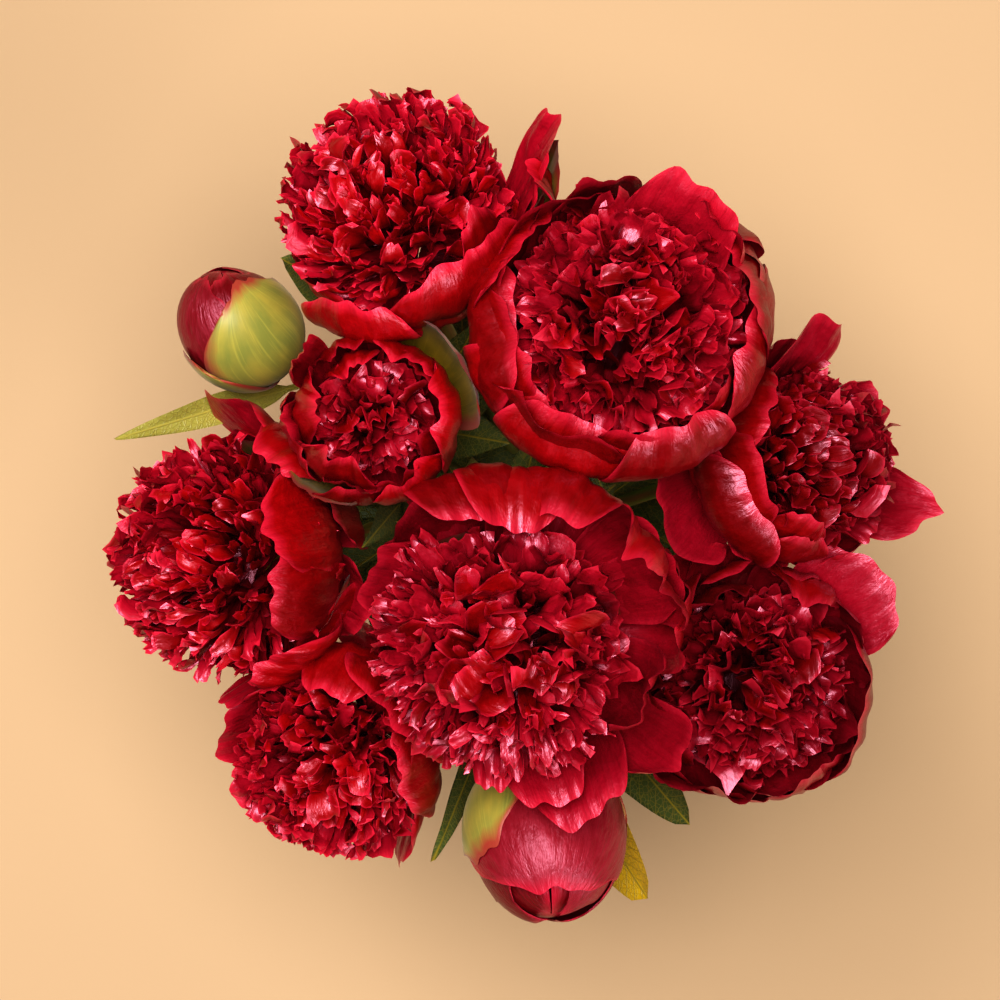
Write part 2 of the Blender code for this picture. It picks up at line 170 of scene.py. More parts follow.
HEARTS = {
    "peony_1": Heart(0, (1.10, 1.06), (Swirl(150, 38), Swirl(290, 42), Swirl(50, 28)), (
        Crowd(200, (36, 112), 225, 95, (4, 9), (18, 27), -8, 28, 2.2, 1.2, 26, (0.92, 1.12)),
        Crowd(46, (40, 105), 50, 92, (8, 18), (20, 28), 25, 26, 1.2, 1.8, 20, (0.88, 1.02)),
        Crowd(24, (4, 52), 60, 160, (17, 29), (21, 29), 30, 26, 0.6, 2.8, 16, (1.04, 1.18)),
        Crowd(8, (8, 42), 110, 120, (27, 35), (22, 28), 38, 16, 0.5, 3.4, 14, (1.10, 1.20)),
        Crowd(56, (4, 56), 0, 180, (6, 14), (20, 28), 10, 30, 1.6, 1.6, 26, (0.94, 1.08)),
        bed(50),
    )),
    "peony_2": Heart(16, (1.50, 1.40), (Swirl(111, 0), Swirl(180, 40)), (
        Crowd(280, (0, 125), 0, 180, (4, 9), (16, 25), 46, 24, 1.9, 0.9, 28, (0.88, 1.06)), bed(56),
        Crowd(64, (0, 80), 111, 180, (9, 16), (18, 25), 42, 22, 1.5, 1.4, 26, (0.94, 1.07)),
    )),
    "peony_3": Heart(0, (1.14, 1.16), (Swirl(165, 30), Swirl(10, 26), Swirl(250, 40)), (
        Crowd(140, (0, 92), 0, 180, (13, 28), (20, 30), 28, 16, 1.2, 3.0, 12, (1.0, 1.20)), bed(45),
        Crowd(80, (5, 92), 0, 180, (6, 13), (18, 26), 26, 28, 1.6, 1.4, 28, (1.04, 1.25)),
    )),
    "peony_4": Heart(8, (0.82, 0.98), (Swirl(40, 10),), (
        Crowd(220, (0, 120), 0, 180, (6, 13), (14, 22), 58, 16, 1.4, 1.2, 20, (0.88, 1.03)), bed(46),
        Crowd(50, (0, 80), 20, 150, (9, 16), (16, 22), 52, 16, 1.2, 1.5, 22, (0.92, 1.04)),
    )),
    "peony_5": Heart(0, (0.88, 0.90), (Swirl(150, 30), Swirl(320, 25)), (
        Crowd(104, (0, 98), 0, 180, (12, 25), (18, 27), 26, 16, 1.0, 2.8, 14, (0.90, 1.10)), bed(40),
        Crowd(60, (5, 95), 0, 180, (6, 13), (16, 24), 26, 28, 1.4, 1.5, 28, (0.92, 1.12)),
    )),
    "peony_6": Heart(6, (1.28, 1.2), (Swirl(120, 30), Swirl(280, 30)), (
        Crowd(200, (0, 118), 0, 180, (4, 10), (15, 24), 38, 28, 1.7, 1.2, 28, (0.90, 1.08)), bed(46),
        Crowd(60, (0, 80), 200, 180, (9, 15), (18, 24), 34, 24, 1.4, 1.5, 26, (0.94, 1.08)),
    )),
    "peony_7": Heart(12, (1.36, 1.22), (Swirl(189, 30), Swirl(60, 25)), (
        Crowd(310, (0, 125), 0, 180, (4, 9), (16, 25), 44, 26, 2.1, 1.0, 28, (0.90, 1.10)), bed(60),
        Crowd(60, (0, 85), 160, 120, (10, 18), (18, 26), 44, 22, 1.4, 1.5, 26, (0.94, 1.08)),
    )),
    "peony_8": Heart(0, (1.12, 1.36), (Swirl(120, 15), Swirl(300, 25)), (
        Crowd(76, (0, 95), 0, 180, (9, 20), (14, 22), 14, 22, 1.0, 2.5, 18, (0.70, 0.98)), bed(30, (9, 14)),
    )),
}

# Broad petals that stand between the guard petals and the crowd.
INNER_ROWS = {
    "peony_3": row(8, 12, 28, 50, 26, 110, 0.95, 2.0, 50),
    "peony_5": row(8, 20, 28, 43, 25, 100, 0.95, 2.0, 50),
    "peony_8": row(5, 40, 30, 28, 24, 98, 0.9, 1.8, 40),
    "peony_6": row(4, 30, 26, 41, 10, 70, 0.85, 2.2, 50),
    "peony_4": row(4, 130, 24, 38, 9, 70, 0.85, 2.0, 50),
}

GUARDS = {
    "peony_1": (
        Guard(109, 21, 53, 27, 146, 0.95, 2.2, 40), Guard(87, 20, 48, 32, 148, 1.02, 2.6, 40),
        Guard(63, 18, 55, 29, 142, 0.95, 2.2, 30),
        Guard(124, 24, 66, 6, 60, 0.9, 2.0, 20), Guard(146, 22, 62, 4, 40, 0.9, 2.0, 20),
        Guard(40, 14, 64, 37, 116, 0.8, 2.2, 30), Guard(23, 15, 70, 25, 88, 0.8, 2.8, 40, 0.08),
        Guard(5, 22, 76, 4, 78, 0.95, 3.2, 50), Guard(339, 20, 61, 17, 84, 0.9, 3.0, 50),
        Guard(30, 24, 74, 4, 50, 0.9, 2.0, 20),
        Guard(320, 15, 82, -10, 52, 0.9, 2.4, 40, 0.08), Guard(303, 21, 73, -6, 55, 0.9, 2.8, -50),
        Guard(283, 19, 66, -8, 30, 0.9, 2.0, -20), Guard(260, 12, 58, -9, 20, 0.9, 1.4),
        Guard(16, 17, 45, 35, 65, 0.7, 1.4, 20, 0.08),
    ) + skirt(50, -12, 165, 200, 235),
    "peony_2": (
        Guard(306, 42, 37, 41, 132, 0.5, 1.6, 30), Guard(244, 27, 47, 33, 128, 0.6, 2.0, 30),
        Guard(346, 22, 43, 38, 122, 0.6, 1.6, 20), Guard(9, 12, 56, 28, 125, 0.7, 1.2, 30),
        Guard(29, 15, 72, 24, 55, 0.8, 1.8, 10), Guard(16, 16, 60, 14, 70, 0.8, 1.4, 20),
        Guard(300, 30, 42, 22, 110, 0.7, 1.5, 40), Guard(340, 20, 34, 36, 120, 0.6, 1.4, 20, 0.10),
    ) + skirt(46, -12, 60, 111, 160, 205),
    "peony_3": (
        Guard(180, 32, 46, 27, 140, 1.15, 1.0, 30), Guard(214, 30, 46, 23, 140, 1.15, 1.0, 30),
        Guard(252, 30, 45, 28, 150, 1.15, 0.9, 30), Guard(288, 27, 46, 31, 150, 1.05, 0.9, 30),
        Guard(350, 36, 49, 27, 125, 1.05, 1.0, 30), Guard(20, 32, 50, 28, 120, 1.0, 1.2, 30),
        Guard(66, 36, 58, 26, 45, 0.9, 2.2, -30), Guard(122, 34, 55, 25, 85, 0.95, 1.6, 20),
        Guard(150, 28, 51, 28, 115, 0.95, 1.2, 30), Guard(38, 26, 54, 28, 85, 0.9, 2.0, 20),
        Guard(275, 26, 58, 4, 60, 0.9, 1.5, 20),
    ),
    "peony_4": (
        Guard(86, 24, 57, 22, 35, 0.9, 2.6, 30), Guard(130, 32, 26, 34, 132, 0.75, 1.6, 20),
        Guard(226, 36, 30, 27, 172, 0.8, 1.1, 10), Guard(212, 34, 22, 34, 140, 0.65, 1.2, 10),
        Guard(168, 28, 38, 24, 125, 0.9, 1.2, 40), Guard(272, 24, 35, 18, 128, 0.8, 1.6, 30),
        Guard(280, 26, 28, 24, 130, 0.7, 1.2, 20), Guard(108, 28, 48, 16, 60, 0.9, 1.8, 20),
        Guard(300, 24, 44, -8, 80, 0.9, 1.4, 30), Guard(335, 22, 51, -12, 25, 0.9, 1.2, 10, 0.14),
        Guard(206, 30, 65, 6, 44, 1.0, 2.2, 20), Guard(250, 26, 48, 0, 60, 1.0, 1.4),
    ) + skirt(37, -10, 11, 60, 320),
    "peony_5": (
        Guard(350, 46, 47, 26, 105, 1.05, 1.2, 20), Guard(34, 30, 69, 3, 12, 1.0, 1.2, -10),
        Guard(84, 34, 50, 18, 85, 0.9, 1.8, 50), Guard(118, 28, 62, 8, 50, 0.9, 1.8, 30),
        Guard(97, 24, 60, 4, 50, 0.9, 1.6, 20), Guard(148, 32, 44, 20, 110, 0.95, 1.4, 30),
        Guard(190, 32, 44, 20, 110, 0.95, 1.4, 20),
        Guard(226, 24, 52, 2, 50, 0.9, 2.0, 20, 0.10), Guard(262, 32, 48, 14, 95, 0.95, 1.3, 20),
        Guard(308, 30, 46, 22, 105, 1.0, 1.3, 20),
    ),
    "peony_6": (
        Guard(165, 30, 47, -4, 45, 0.9, 1.4, -10), Guard(124, 24, 50, 10, 90, 0.95, 1.5, 30),
        Guard(92, 22, 31, 34, 140, 1.0, 1.8, 20), Guard(42, 38, 33, 42, 135, 0.55, 1.3, 20),
        Guard(345, 34, 32, 27, 132, 0.7, 1.4, 20), Guard(20, 28, 44, 20, 120, 0.8, 1.2, 20),
        Guard(66, 30, 60, 14, 70, 0.9, 1.6, 20), Guard(314, 18, 50, -8, 60, 0.9, 1.6, 20, 0.12),
    ) + skirt(39, -12, 200, 240, 285),
    "peony_7": (
        Guard(84, 24, 67, 15, 55, 0.9, 3.4, 30), Guard(60, 20, 46, 35, 132, 0.7, 1.6, 30),
        Guard(30, 25, 25, 53, 132, 0.68, 1.5, 10), Guard(328, 30, 28, 48, 132, 0.62, 1.5, 20),
        Guard(296, 20, 46, 24, 128, 0.65, 1.3, 20), Guard(278, 14, 60, 4, 70, 0.8, 1.0, 10),
        Guard(342, 26, 63, 0, 40, 0.9, 2.2, 20), Guard(30, 30, 50, 14, 100, 0.9, 1.4, 20),
        Guard(318, 30, 48, 10, 100, 0.9, 1.4, 20),
    ) + skirt(49, -14, 110, 150, 189, 230, 265),
    "peony_8": (
        Guard(174, 34, 23, 32, 124, 0.75, 2.4, 20, 0.08), Guard(232, 40, 20, 31, 128, 0.9, 2.6, 30),
        Guard(142, 18, 36, 32, 95, 0.7, 1.0, 0, 0.12), Guard(112, 30, 21, 27, 125, 0.55, 1.5, 30),
        Guard(62, 36, 28, 25, 125, 0.75, 1.2, 30), Guard(10, 40, 29, 31, 126, 0.95, 1.4, 30),
        Guard(304, 34, 29, 28, 120, 0.95, 2.2, 30), Guard(262, 34, 30, 14, 110, 1.0, 1.2, 20),
        Guard(190, 36, 32, 16, 100, 0.9, 1.2, 20),
    ),
}

# The green sepals under a bloom, each as a guard petal is given.
SEPALS = {
    "peony_1": calyx(46, -19, 250, 20, 130),
    "peony_2": (Guard(13, 15, 66, 16, 75, 0.95, 0.5), *calyx(43, -20, 110, 240)),
    "peony_3": (Guard(240, 26, 61, 4, 88, 1.0, 0.5), *calyx(46, -15, 340, 100)),
    "peony_4": calyx(34, -15, 90, 210, 330),
    "peony_5": calyx(38, -16, 50, 170, 290),
    "peony_6": calyx(37, -16, 60, 180, 300),
    "peony_7": calyx(46, -18, 90, 210, 330),
    "peony_8": (
        Guard(38, 44, 43, 20, 100, 1.05, 0.5), Guard(240, 34, 37, 8, 80, 1.05, 0.5), *calyx(32, -8, 140),
    ),
}

# Where the tip of a bud points: compass, and degrees from upright.
BUD_TIPS = {"bud_1": (102, 74), "bud_2": (273, 60)}

# A closed petal or sepal of a bud. compass and span: as for a broad petal; low and high: where it
# starts and ends, in degrees up from the stem; swell: its size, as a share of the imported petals';
# lean: degrees by which its tip swings aside; part: millimetres by which its tip parts from the bud;
# blunt: how broad its tip is; rows and columns: of its sheet.
Wrap = namedtuple("Wrap", "compass span low high swell lean part blunt rows columns", defaults=(24, 27))

BUD_PETALS = {
    "bud_1": (
        Wrap(146, 178, 4, 179, 0.93, 0, 0, 1.0),
        Wrap(236, 88, 6, 168, 0.97, 10, 0.3, 0.7),
        Wrap(86, 88, 6, 170, 0.975, 8, 0.3, 0.7),
        Wrap(326, 92, 6, 164, 0.98, 8, 0, 0.8),
    ),
    "bud_2": (
        Wrap(276, 178, 4, 179, 0.96, 0, 0, 1.0),
        Wrap(20, 92, 6, 176, 1.02, 14, 0.5, 0.35),
        Wrap(200, 92, 6, 174, 1.03, 12, 0.9, 0.4),
        Wrap(290, 80, 6, 172, 1.04, 8, 0.4, 0.4),
        Wrap(80, 104, 6, 152, 1.08, 8, 1.4, 0.8),
    ),
}

BUD_SEPALS = {
    "bud_1": (
        Wrap(336, 94, 2, 148, 1.03, 6, 0.3, 0.40),
        Wrap(240, 52, 2, 104, 1.05, 0, 0.5, 0.35, 20, 21),
        Wrap(100, 30, 2, 84, 1.06, 0, 0.6, 0.3, 20, 21),
        Wrap(170, 34, 2, 84, 1.05, 0, 0.8, 0.3, 20, 21),
    ),
    "bud_2": (
        Wrap(150, 56, 2, 118, 1.13, -4, 0.6, 0.60),
        Wrap(60, 24, 2, 84, 1.13, 0, 1.0, 0.2, 20, 21),
        Wrap(236, 34, 2, 112, 1.12, 0, 0.8, 0.3, 20, 21),
        Wrap(340, 34, 2, 80, 1.13, 0, 0.8, 0.3, 20, 21),
    ),
}

# How many leaves there are; by number, those that aren't dark and how many pairs of side leaflets
# some have.
LEAF_COUNT = 17
# leaf 2 takes the plain leaf colour with painted light, so that it shows bright in the shade of the heads
LEAF_KINDS = {1: "pale", 2: "fresh", 7: "autumn"}
LEAFLET_PAIRS = {3: 2, 4: 2, 5: 1, 9: 2, 10: 2, 11: 2, 12: 2, 13: 2, 14: 2, 15: 2, 16: 2, 17: 2}

# How far the tips of some leaves bend aside, in metres, and how blunt and how much broader some are.
TIP_BENDS = {7: (0.012, -0.007, 0.0)}
BLUNT_LEAVES = {7: 2.2, 8: 1.6, 2: 1.4}
BROAD_LEAVES = {7: 1.7, 8: 1.3, 2: 1.15}


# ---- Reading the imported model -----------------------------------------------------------

def unit(vectors):
    """Vectors along the last axis, scaled to length 1."""
    vectors = np.asarray(vectors, float)
    return vectors / np.maximum(np.linalg.norm(vectors, axis=-1, keepdims=True), 1e-12)


def points_of(node):
    """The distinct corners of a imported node, in metres."""
    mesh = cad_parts[node].data
    corners = np.empty(len(mesh.vertices) * 3)
    mesh.vertices.foreach_get("co", corners)
    return np.unique(corners.reshape(-1, 3).round(6), axis=0)


def compass_way(degrees):
    """A level direction."""
    angle = math.radians(degrees)
    return np.array([math.cos(angle), math.sin(angle), 0.0])


# middle: of the inner petals; axis: the way that the bloom faces; radius and depth: half sizes of the
# inner petals across and along the axis.
Bloom = namedtuple("Bloom", "name middle axis radius depth")


def read_bloom(name, petals_node):
    """The place, lean and size of a bloom or bud, from its packed petals and stem."""
    corners = points_of(petals_node)
    middle = (corners.min(axis=0) + corners.max(axis=0)) / 2
    stem = points_of(f"{name}_stem")
    nearest = np.argsort(np.linalg.norm(stem - middle, axis=1))[:8]
    neck = stem[nearest].mean(axis=0)
    axis = unit(middle - neck)
    along = (corners - middle) @ axis
    across = np.linalg.norm(corners - middle - along[:, None] * axis, axis=1)
    return Bloom(name, middle, axis, across.max(), np.ptp(along) / 2)


def square_to(axis, way):
    """The part of a direction that is square to an axis, as a unit vector."""
    return unit(way - np.dot(way, axis) * axis)


def turned(vectors, axes, angles):
    """Vectors turned about unit axes by angles in radians; all broadcast together."""
    angles = np.asarray(angles)[..., None]
    along = (vectors * axes).sum(axis=-1, keepdims=True) * axes
    return along + (vectors - along) * np.cos(angles) + np.cross(axes, vectors) * np.sin(angles)


# ---- Sheets and tubes -------------------------------------------------------------------

# Each point of a piece carries two marks. place: how near it is to the edge or tip, how far along it
# is, and its side, from 0 on the upper face to 1 on the lower. lay: how far it is across and along, in
# millimetres, and the shade of its sheet or tube.

# points: sheets x rows x columns x 3, the middle of each sheet, rows from base to tip; lay:
# millimetres across and along each sheet, for the veins; shade: a number from 0 to 1 for each sheet;
# thick: metres; glow: a factor on how far along each point counts, so that a smaller share
# lets the painted shade at the foot of the sheet reach further towards its tip.
Sheets = namedtuple("Sheets", "points lay shade thick glow", defaults=(1.0,))


def laid_out(across, along):
    """Distances across and along a sheet, in millimetres."""
    return np.stack(np.broadcast_arrays(across, along), axis=-1) / MM


def sheet_normals(points):
    """The way that each point's upper face looks."""
    along = np.gradient(points, axis=1)
    across = np.gradient(points, axis=2)
    return unit(np.cross(across, along))


def sheet_parts(sheets, first):
    """Corners, faces and marks of closed thin sheets: an upper and a lower face that meet along the edge."""
    points = sheets.points
    count, rows, columns, _ = points.shape
    normals = sheet_normals(points)
    half = sheets.thick / 2
    upper = points + half * normals
    lower = points - half * normals
    rim = np.ones((rows, columns), bool)
    rim[1:-1, 1:-1] = False
    upper[:, rim] = points[:, rim]
    inside = ~rim
    upper_ids = np.arange(rows * columns).reshape(rows, columns)
    lower_ids = upper_ids.copy()
    lower_ids[inside] = rows * columns + np.arange(inside.sum())
    per_sheet = rows * columns + inside.sum()
    vertices = np.concatenate([upper.reshape(count, -1, 3), lower[:, inside]], axis=1)

    def quads(ids):
        """Faces between neighbouring points of a grid."""
        return np.stack([ids[:-1, :-1], ids[:-1, 1:], ids[1:, 1:], ids[1:, :-1]], axis=-1).reshape(-1, 4)

    # the first half of the faces runs with the normals, the second half against them
    faces = np.concatenate([quads(upper_ids), quads(lower_ids)[:, ::-1]])
    offsets = first + per_sheet * np.arange(count)
    all_faces = (faces[None] + offsets[:, None, None]).reshape(-1, 4)

    across = np.linspace(-1, 1, columns)[None, :]
    along = np.linspace(0, 1, rows)[:, None]
    edge = np.maximum(np.abs(across) * np.ones((rows, 1)), 2 * along - 1)
    place = np.stack([edge, along * np.ones((1, columns)), np.zeros((rows, columns))], axis=-1)
    upper_place = place.reshape(-1, 3)
    lower_place = place[inside].copy()
    lower_place[:, 2] = 1
    upper_place[rim.ravel(), 2] = 0.5
    places = np.repeat(np.concatenate([upper_place, lower_place])[None], count, axis=0)
    # a smaller unshaded share makes points count as nearer the foot, so the painted shade there reaches
    # further up
    places[:, :, 1] *= np.broadcast_to(np.asarray(sheets.glow, float), (count,))[:, None]

    shade = np.broadcast_to(np.asarray(sheets.shade, float)[:, None, None], (count, rows, columns))
    lay = np.concatenate([sheets.lay, shade[..., None]], axis=-1)
    lays = np.concatenate([lay.reshape(count, -1, 3), lay[:, inside]], axis=1)

    # one square of the unwrapped map for each side of each sheet
    spread = np.stack(np.broadcast_arrays((across + 1) / 2, along), axis=-1)
    corner_map = np.concatenate([spread.reshape(-1, 2), spread[inside]])
    squares = corner_map[faces].reshape(2, -1, 4, 2)
    return vertices.reshape(-1, 3), all_faces, places.reshape(-1, 3), lays.reshape(-1, 3), [squares] * count


# path: the tube's middle; radii: metres, one for each place on the path and each side; shade: 0 to 1.
Tube = namedtuple("Tube", "path radii shade")


def along_frames(path):
    """Directions along a path and two square to it, with as little turning as the path allows."""
    ahead = unit(np.gradient(path, axis=0))
    beside = np.empty_like(ahead)
    start = UPRIGHT if abs(ahead[0][2]) < 0.9 else np.array([1.0, 0.0, 0.0])
    beside[0] = square_to(ahead[0], start)
    for spot in range(1, len(path)):
        beside[spot] = square_to(ahead[spot], beside[spot - 1])
    return ahead, beside, np.cross(ahead, beside)


def distances_along(path):
    """How far along a path each of its places lies."""
    return np.concatenate([[0], np.cumsum(np.linalg.norm(np.diff(path, axis=0), axis=1))])


def tube_parts(tube, first):
    """Corners, faces and marks of a closed tube with flat ends."""
    count, sides = tube.radii.shape
    _, beside, above = along_frames(tube.path)
    turn = np.arange(sides) * 2 * math.pi / sides
    vertices = tube.path[:, None] + tube.radii[..., None] * (
        np.cos(turn)[None, :, None] * beside[:, None] + np.sin(turn)[None, :, None] * above[:, None])
    # a stem that starts on the floor is cut level
    if abs(tube.path[0][2]) < 1e-5:
        vertices[0, :, 2] = 0.0
    ids = np.arange(count * sides).reshape(count, sides)
    after = np.roll(ids, -1, axis=1)
    wall = np.stack([ids[:-1], after[:-1], after[1:], ids[1:]], axis=-1).reshape(-1, 4)
    strip = np.array([(i, i + 1, sides - 2 - i, sides - 1 - i) for i in range(sides // 2 - 1)])
    faces = np.concatenate([wall, strip[:, ::-1], ids[-1][strip]])
    run = distances_along(tube.path)
    share = np.broadcast_to((run / run[-1])[:, None], (count, sides))
    around = np.broadcast_to(turn[None, :] * tube.radii.mean(), (count, sides))
    place = np.stack([np.zeros((count, sides)), share, np.zeros((count, sides))], axis=-1)
    shade = np.full((count, sides, 1), tube.shade)
    lay = np.concatenate([laid_out(around, run[:, None]), shade], axis=-1)
    u = np.arange(sides + 1) / sides
    corners = np.array([(0, 0), (1, 0), (1, 1), (0, 1)])
    grid = np.stack(np.meshgrid(np.arange(sides), np.arange(count - 1)), axis=-1).reshape(-1, 1, 2) + corners
    wall_map = np.stack([u[grid[..., 0]], run[grid[..., 1]] / run[-1] * 0.96], axis=-1)
    ring = 0.5 + 0.5 * np.stack([np.cos(turn), np.sin(turn)], axis=-1)
    foot_map = ring[strip[:, ::-1]] * 0.03 + np.array([0.1, 0.965])
    head_map = ring[strip] * 0.03 + np.array([0.5, 0.965])
    squares = np.concatenate([wall_map, foot_map, head_map])[None]
    return vertices.reshape(-1, 3), faces + first, place.reshape(-1, 3), lay.reshape(-1, 3), [squares]


def build_piece(name, groups, material, slot, *nodes):
    """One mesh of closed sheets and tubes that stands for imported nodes."""
    vertices, faces, places, lays, maps = [], [], [], [], []
    first = 0
    for group in groups:
        part = (tube_parts if isinstance(group, Tube) else sheet_parts)(group, first)
        first += len(part[0])
        vertices.append(part[0])
        faces.append(part[1])
        places.append(part[2])
        lays.append(part[3])
        maps += part[4]
    squares = [square for pair in maps for square in pair]
    side = math.ceil(math.sqrt(len(squares)))
    corner_maps = [
        ((square * 0.9 + 0.05 + np.array([cell % side, cell // side])) / side).reshape(-1, 2)
        for cell, square in enumerate(squares)
    ]
    vertices, faces = np.concatenate(vertices), np.concatenate(faces)
    mesh = bpy.data.meshes.new(name)
    mesh.vertices.add(len(vertices))
    mesh.vertices.foreach_set("co", vertices.ravel())
    mesh.loops.add(faces.size)
    mesh.loops.foreach_set("vertex_index", faces.ravel().astype(np.int32))
    mesh.polygons.add(len(faces))
    mesh.polygons.foreach_set("loop_start", np.arange(0, faces.size, 4, dtype=np.int32))
    mesh.update(calc_edges=True)
    unwrapped = mesh.uv_layers.new(name="OFBake", do_init=False)
    unwrapped.uv.foreach_set("vector", np.concatenate(corner_maps).astype(np.float32).ravel())
    for title, values in (("place", np.concatenate(places)), ("lay", np.concatenate(lays))):
        marks = mesh.attributes.new(title, "FLOAT_VECTOR", "POINT")
        marks.data.foreach_set("vector", values.astype(np.float32).ravel())
    mesh.shade_smooth()
    mesh.set_sharp_from_angle(angle=CREASE)
    mesh.materials.append(material)
    mesh.validate()
    piece = bpy.data.objects.new(name, mesh)
    bpy.context.scene.collection.objects.link(piece)
    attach(piece, BODY)
    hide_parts(*nodes)
    return piece


# ---- Petals and sepals ------------------------------------------------------------------

def seeded(name):
    """A stream of random numbers, always the same for one name."""
    return np.random.default_rng(sum((index + 1) * ord(letter) for index, letter in enumerate(name)))


def soft_noise(rng, count, rows, columns, knots=4):
    """Gently varying numbers over each of several grids."""
    shares = []
    for size in (rows, columns):
        place = np.linspace(0, knots - 1, size)
        first = np.minimum(place.astype(int), knots - 2)
        part = place - first
        part = part * part * (3 - 2 * part)
        share = np.zeros((size, knots))
        share[np.arange(size), first] = 1 - part
        share[np.arange(size), first + 1] = part
        shares.append(share)
    return np.einsum("rk,nkl,cl->nrc", shares[0], rng.normal(0, 1, (count, knots, knots)), shares[1])


# The forms of small petals, one number for each. length, width, teeth and ruffle: metres; cup and
# curl: radians by which a petal bends across and along; fold: how steeply it folds up from its middle
# line.
Growth = namedtuple("Growth", "length width teeth ruffle cup curl fold")


def grown_sheets(rng, tips, start, finish, side, growth, twisting, columns, glow, rows=9, blunt=0.8):
    """Small petals that end at tips: each leaves along start, bends to finish and is broad along side."""
    count = len(tips)
    share = np.linspace(0, 1, rows)
    bend = share[None, :] ** 1.3
    headings = unit(start[:, None] * (1 - bend)[..., None] + finish[:, None] * bend[..., None])
    sides = np.broadcast_to(side[:, None], headings.shape)
    sides = unit(sides - (sides * headings).sum(axis=-1, keepdims=True) * headings)
    late = np.clip((share - 0.55) / 0.45, 0, 1) ** 1.5
    headings = turned(headings, sides, growth.curl[:, None] * late[None])
    normals = np.cross(sides, headings)
    twist = rng.normal(0, twisting, count)[:, None] * share[None]
    sides = turned(sides, headings, twist)
    normals = turned(normals, headings, twist)
    steps = headings * (growth.length[:, None] / (rows - 1))[..., None]
    spine = np.cumsum(steps, axis=1) - steps
    spine = spine - spine[:, -1:] + tips[:, None]

    length, width, teeth, ruffle, cup, _, fold = (values[:, None, None] for values in growth)
    along = share[None, :, None]
    across = np.linspace(-1, 1, columns)[None, None, :]
    breadth = 0.30 + 0.70 * np.sin(np.clip(along / 0.78, 0, 1) * math.pi / 2) ** 1.4
    breadth = breadth * (1 - (1 - blunt) * np.clip((along - 0.72) / 0.28, 0, 1) ** 2)
    beside = width / 2 * breadth * across
    arc = cup * across
    bow = np.where(np.abs(cup) < 0.05, 0.05, cup)
    over = beside * np.sinc(arc / math.pi)
    lift = width / 2 * breadth * (1 - np.cos(arc)) / bow
    lift = lift + fold * np.abs(beside)
    phase = rng.uniform(0, 2 * math.pi, (4, count, 1, 1))
    waves = rng.uniform(1.2, 2.6, (2, count, 1, 1))
    edge = np.abs(across) ** 1.5
    flutter = ruffle * (
        edge * along * np.sin(2 * math.pi * waves[0] * along + phase[0] + 1.6 * np.sign(across))
        + 0.8 * along ** 2 * np.sin(math.pi * waves[1] * across + phase[1])
    )
    crumple = soft_noise(rng, count, rows, columns) * (0.07 * width) * np.clip(2 * along, 0, 1)
    lift = lift + flutter + crumple
    tip_teeth = rng.uniform(-1, 0.6, (count, 1, columns)) * teeth
    reach = -length * 0.12 * np.abs(across) ** 2.6 * along ** 3 + tip_teeth * along ** 5
    side_teeth = rng.uniform(-1, 0.5, (count, rows, 2)) * teeth * 0.35 * np.clip((along - 0.5) * 3, 0, 1)
    over[:, :, 0] -= side_teeth[:, :, 0]
    over[:, :, -1] += side_teeth[:, :, 1]
    points = (
        spine[:, :, None] + over[..., None] * sides[:, :, None] + lift[..., None] * normals[:, :, None]
        + reach[..., None] * headings[:, :, None]
    )
    lay = laid_out(width / 2 * across, length * along)
    return Sheets(points, lay, rng.uniform(0, 1, count), INNER_THICK, glow)


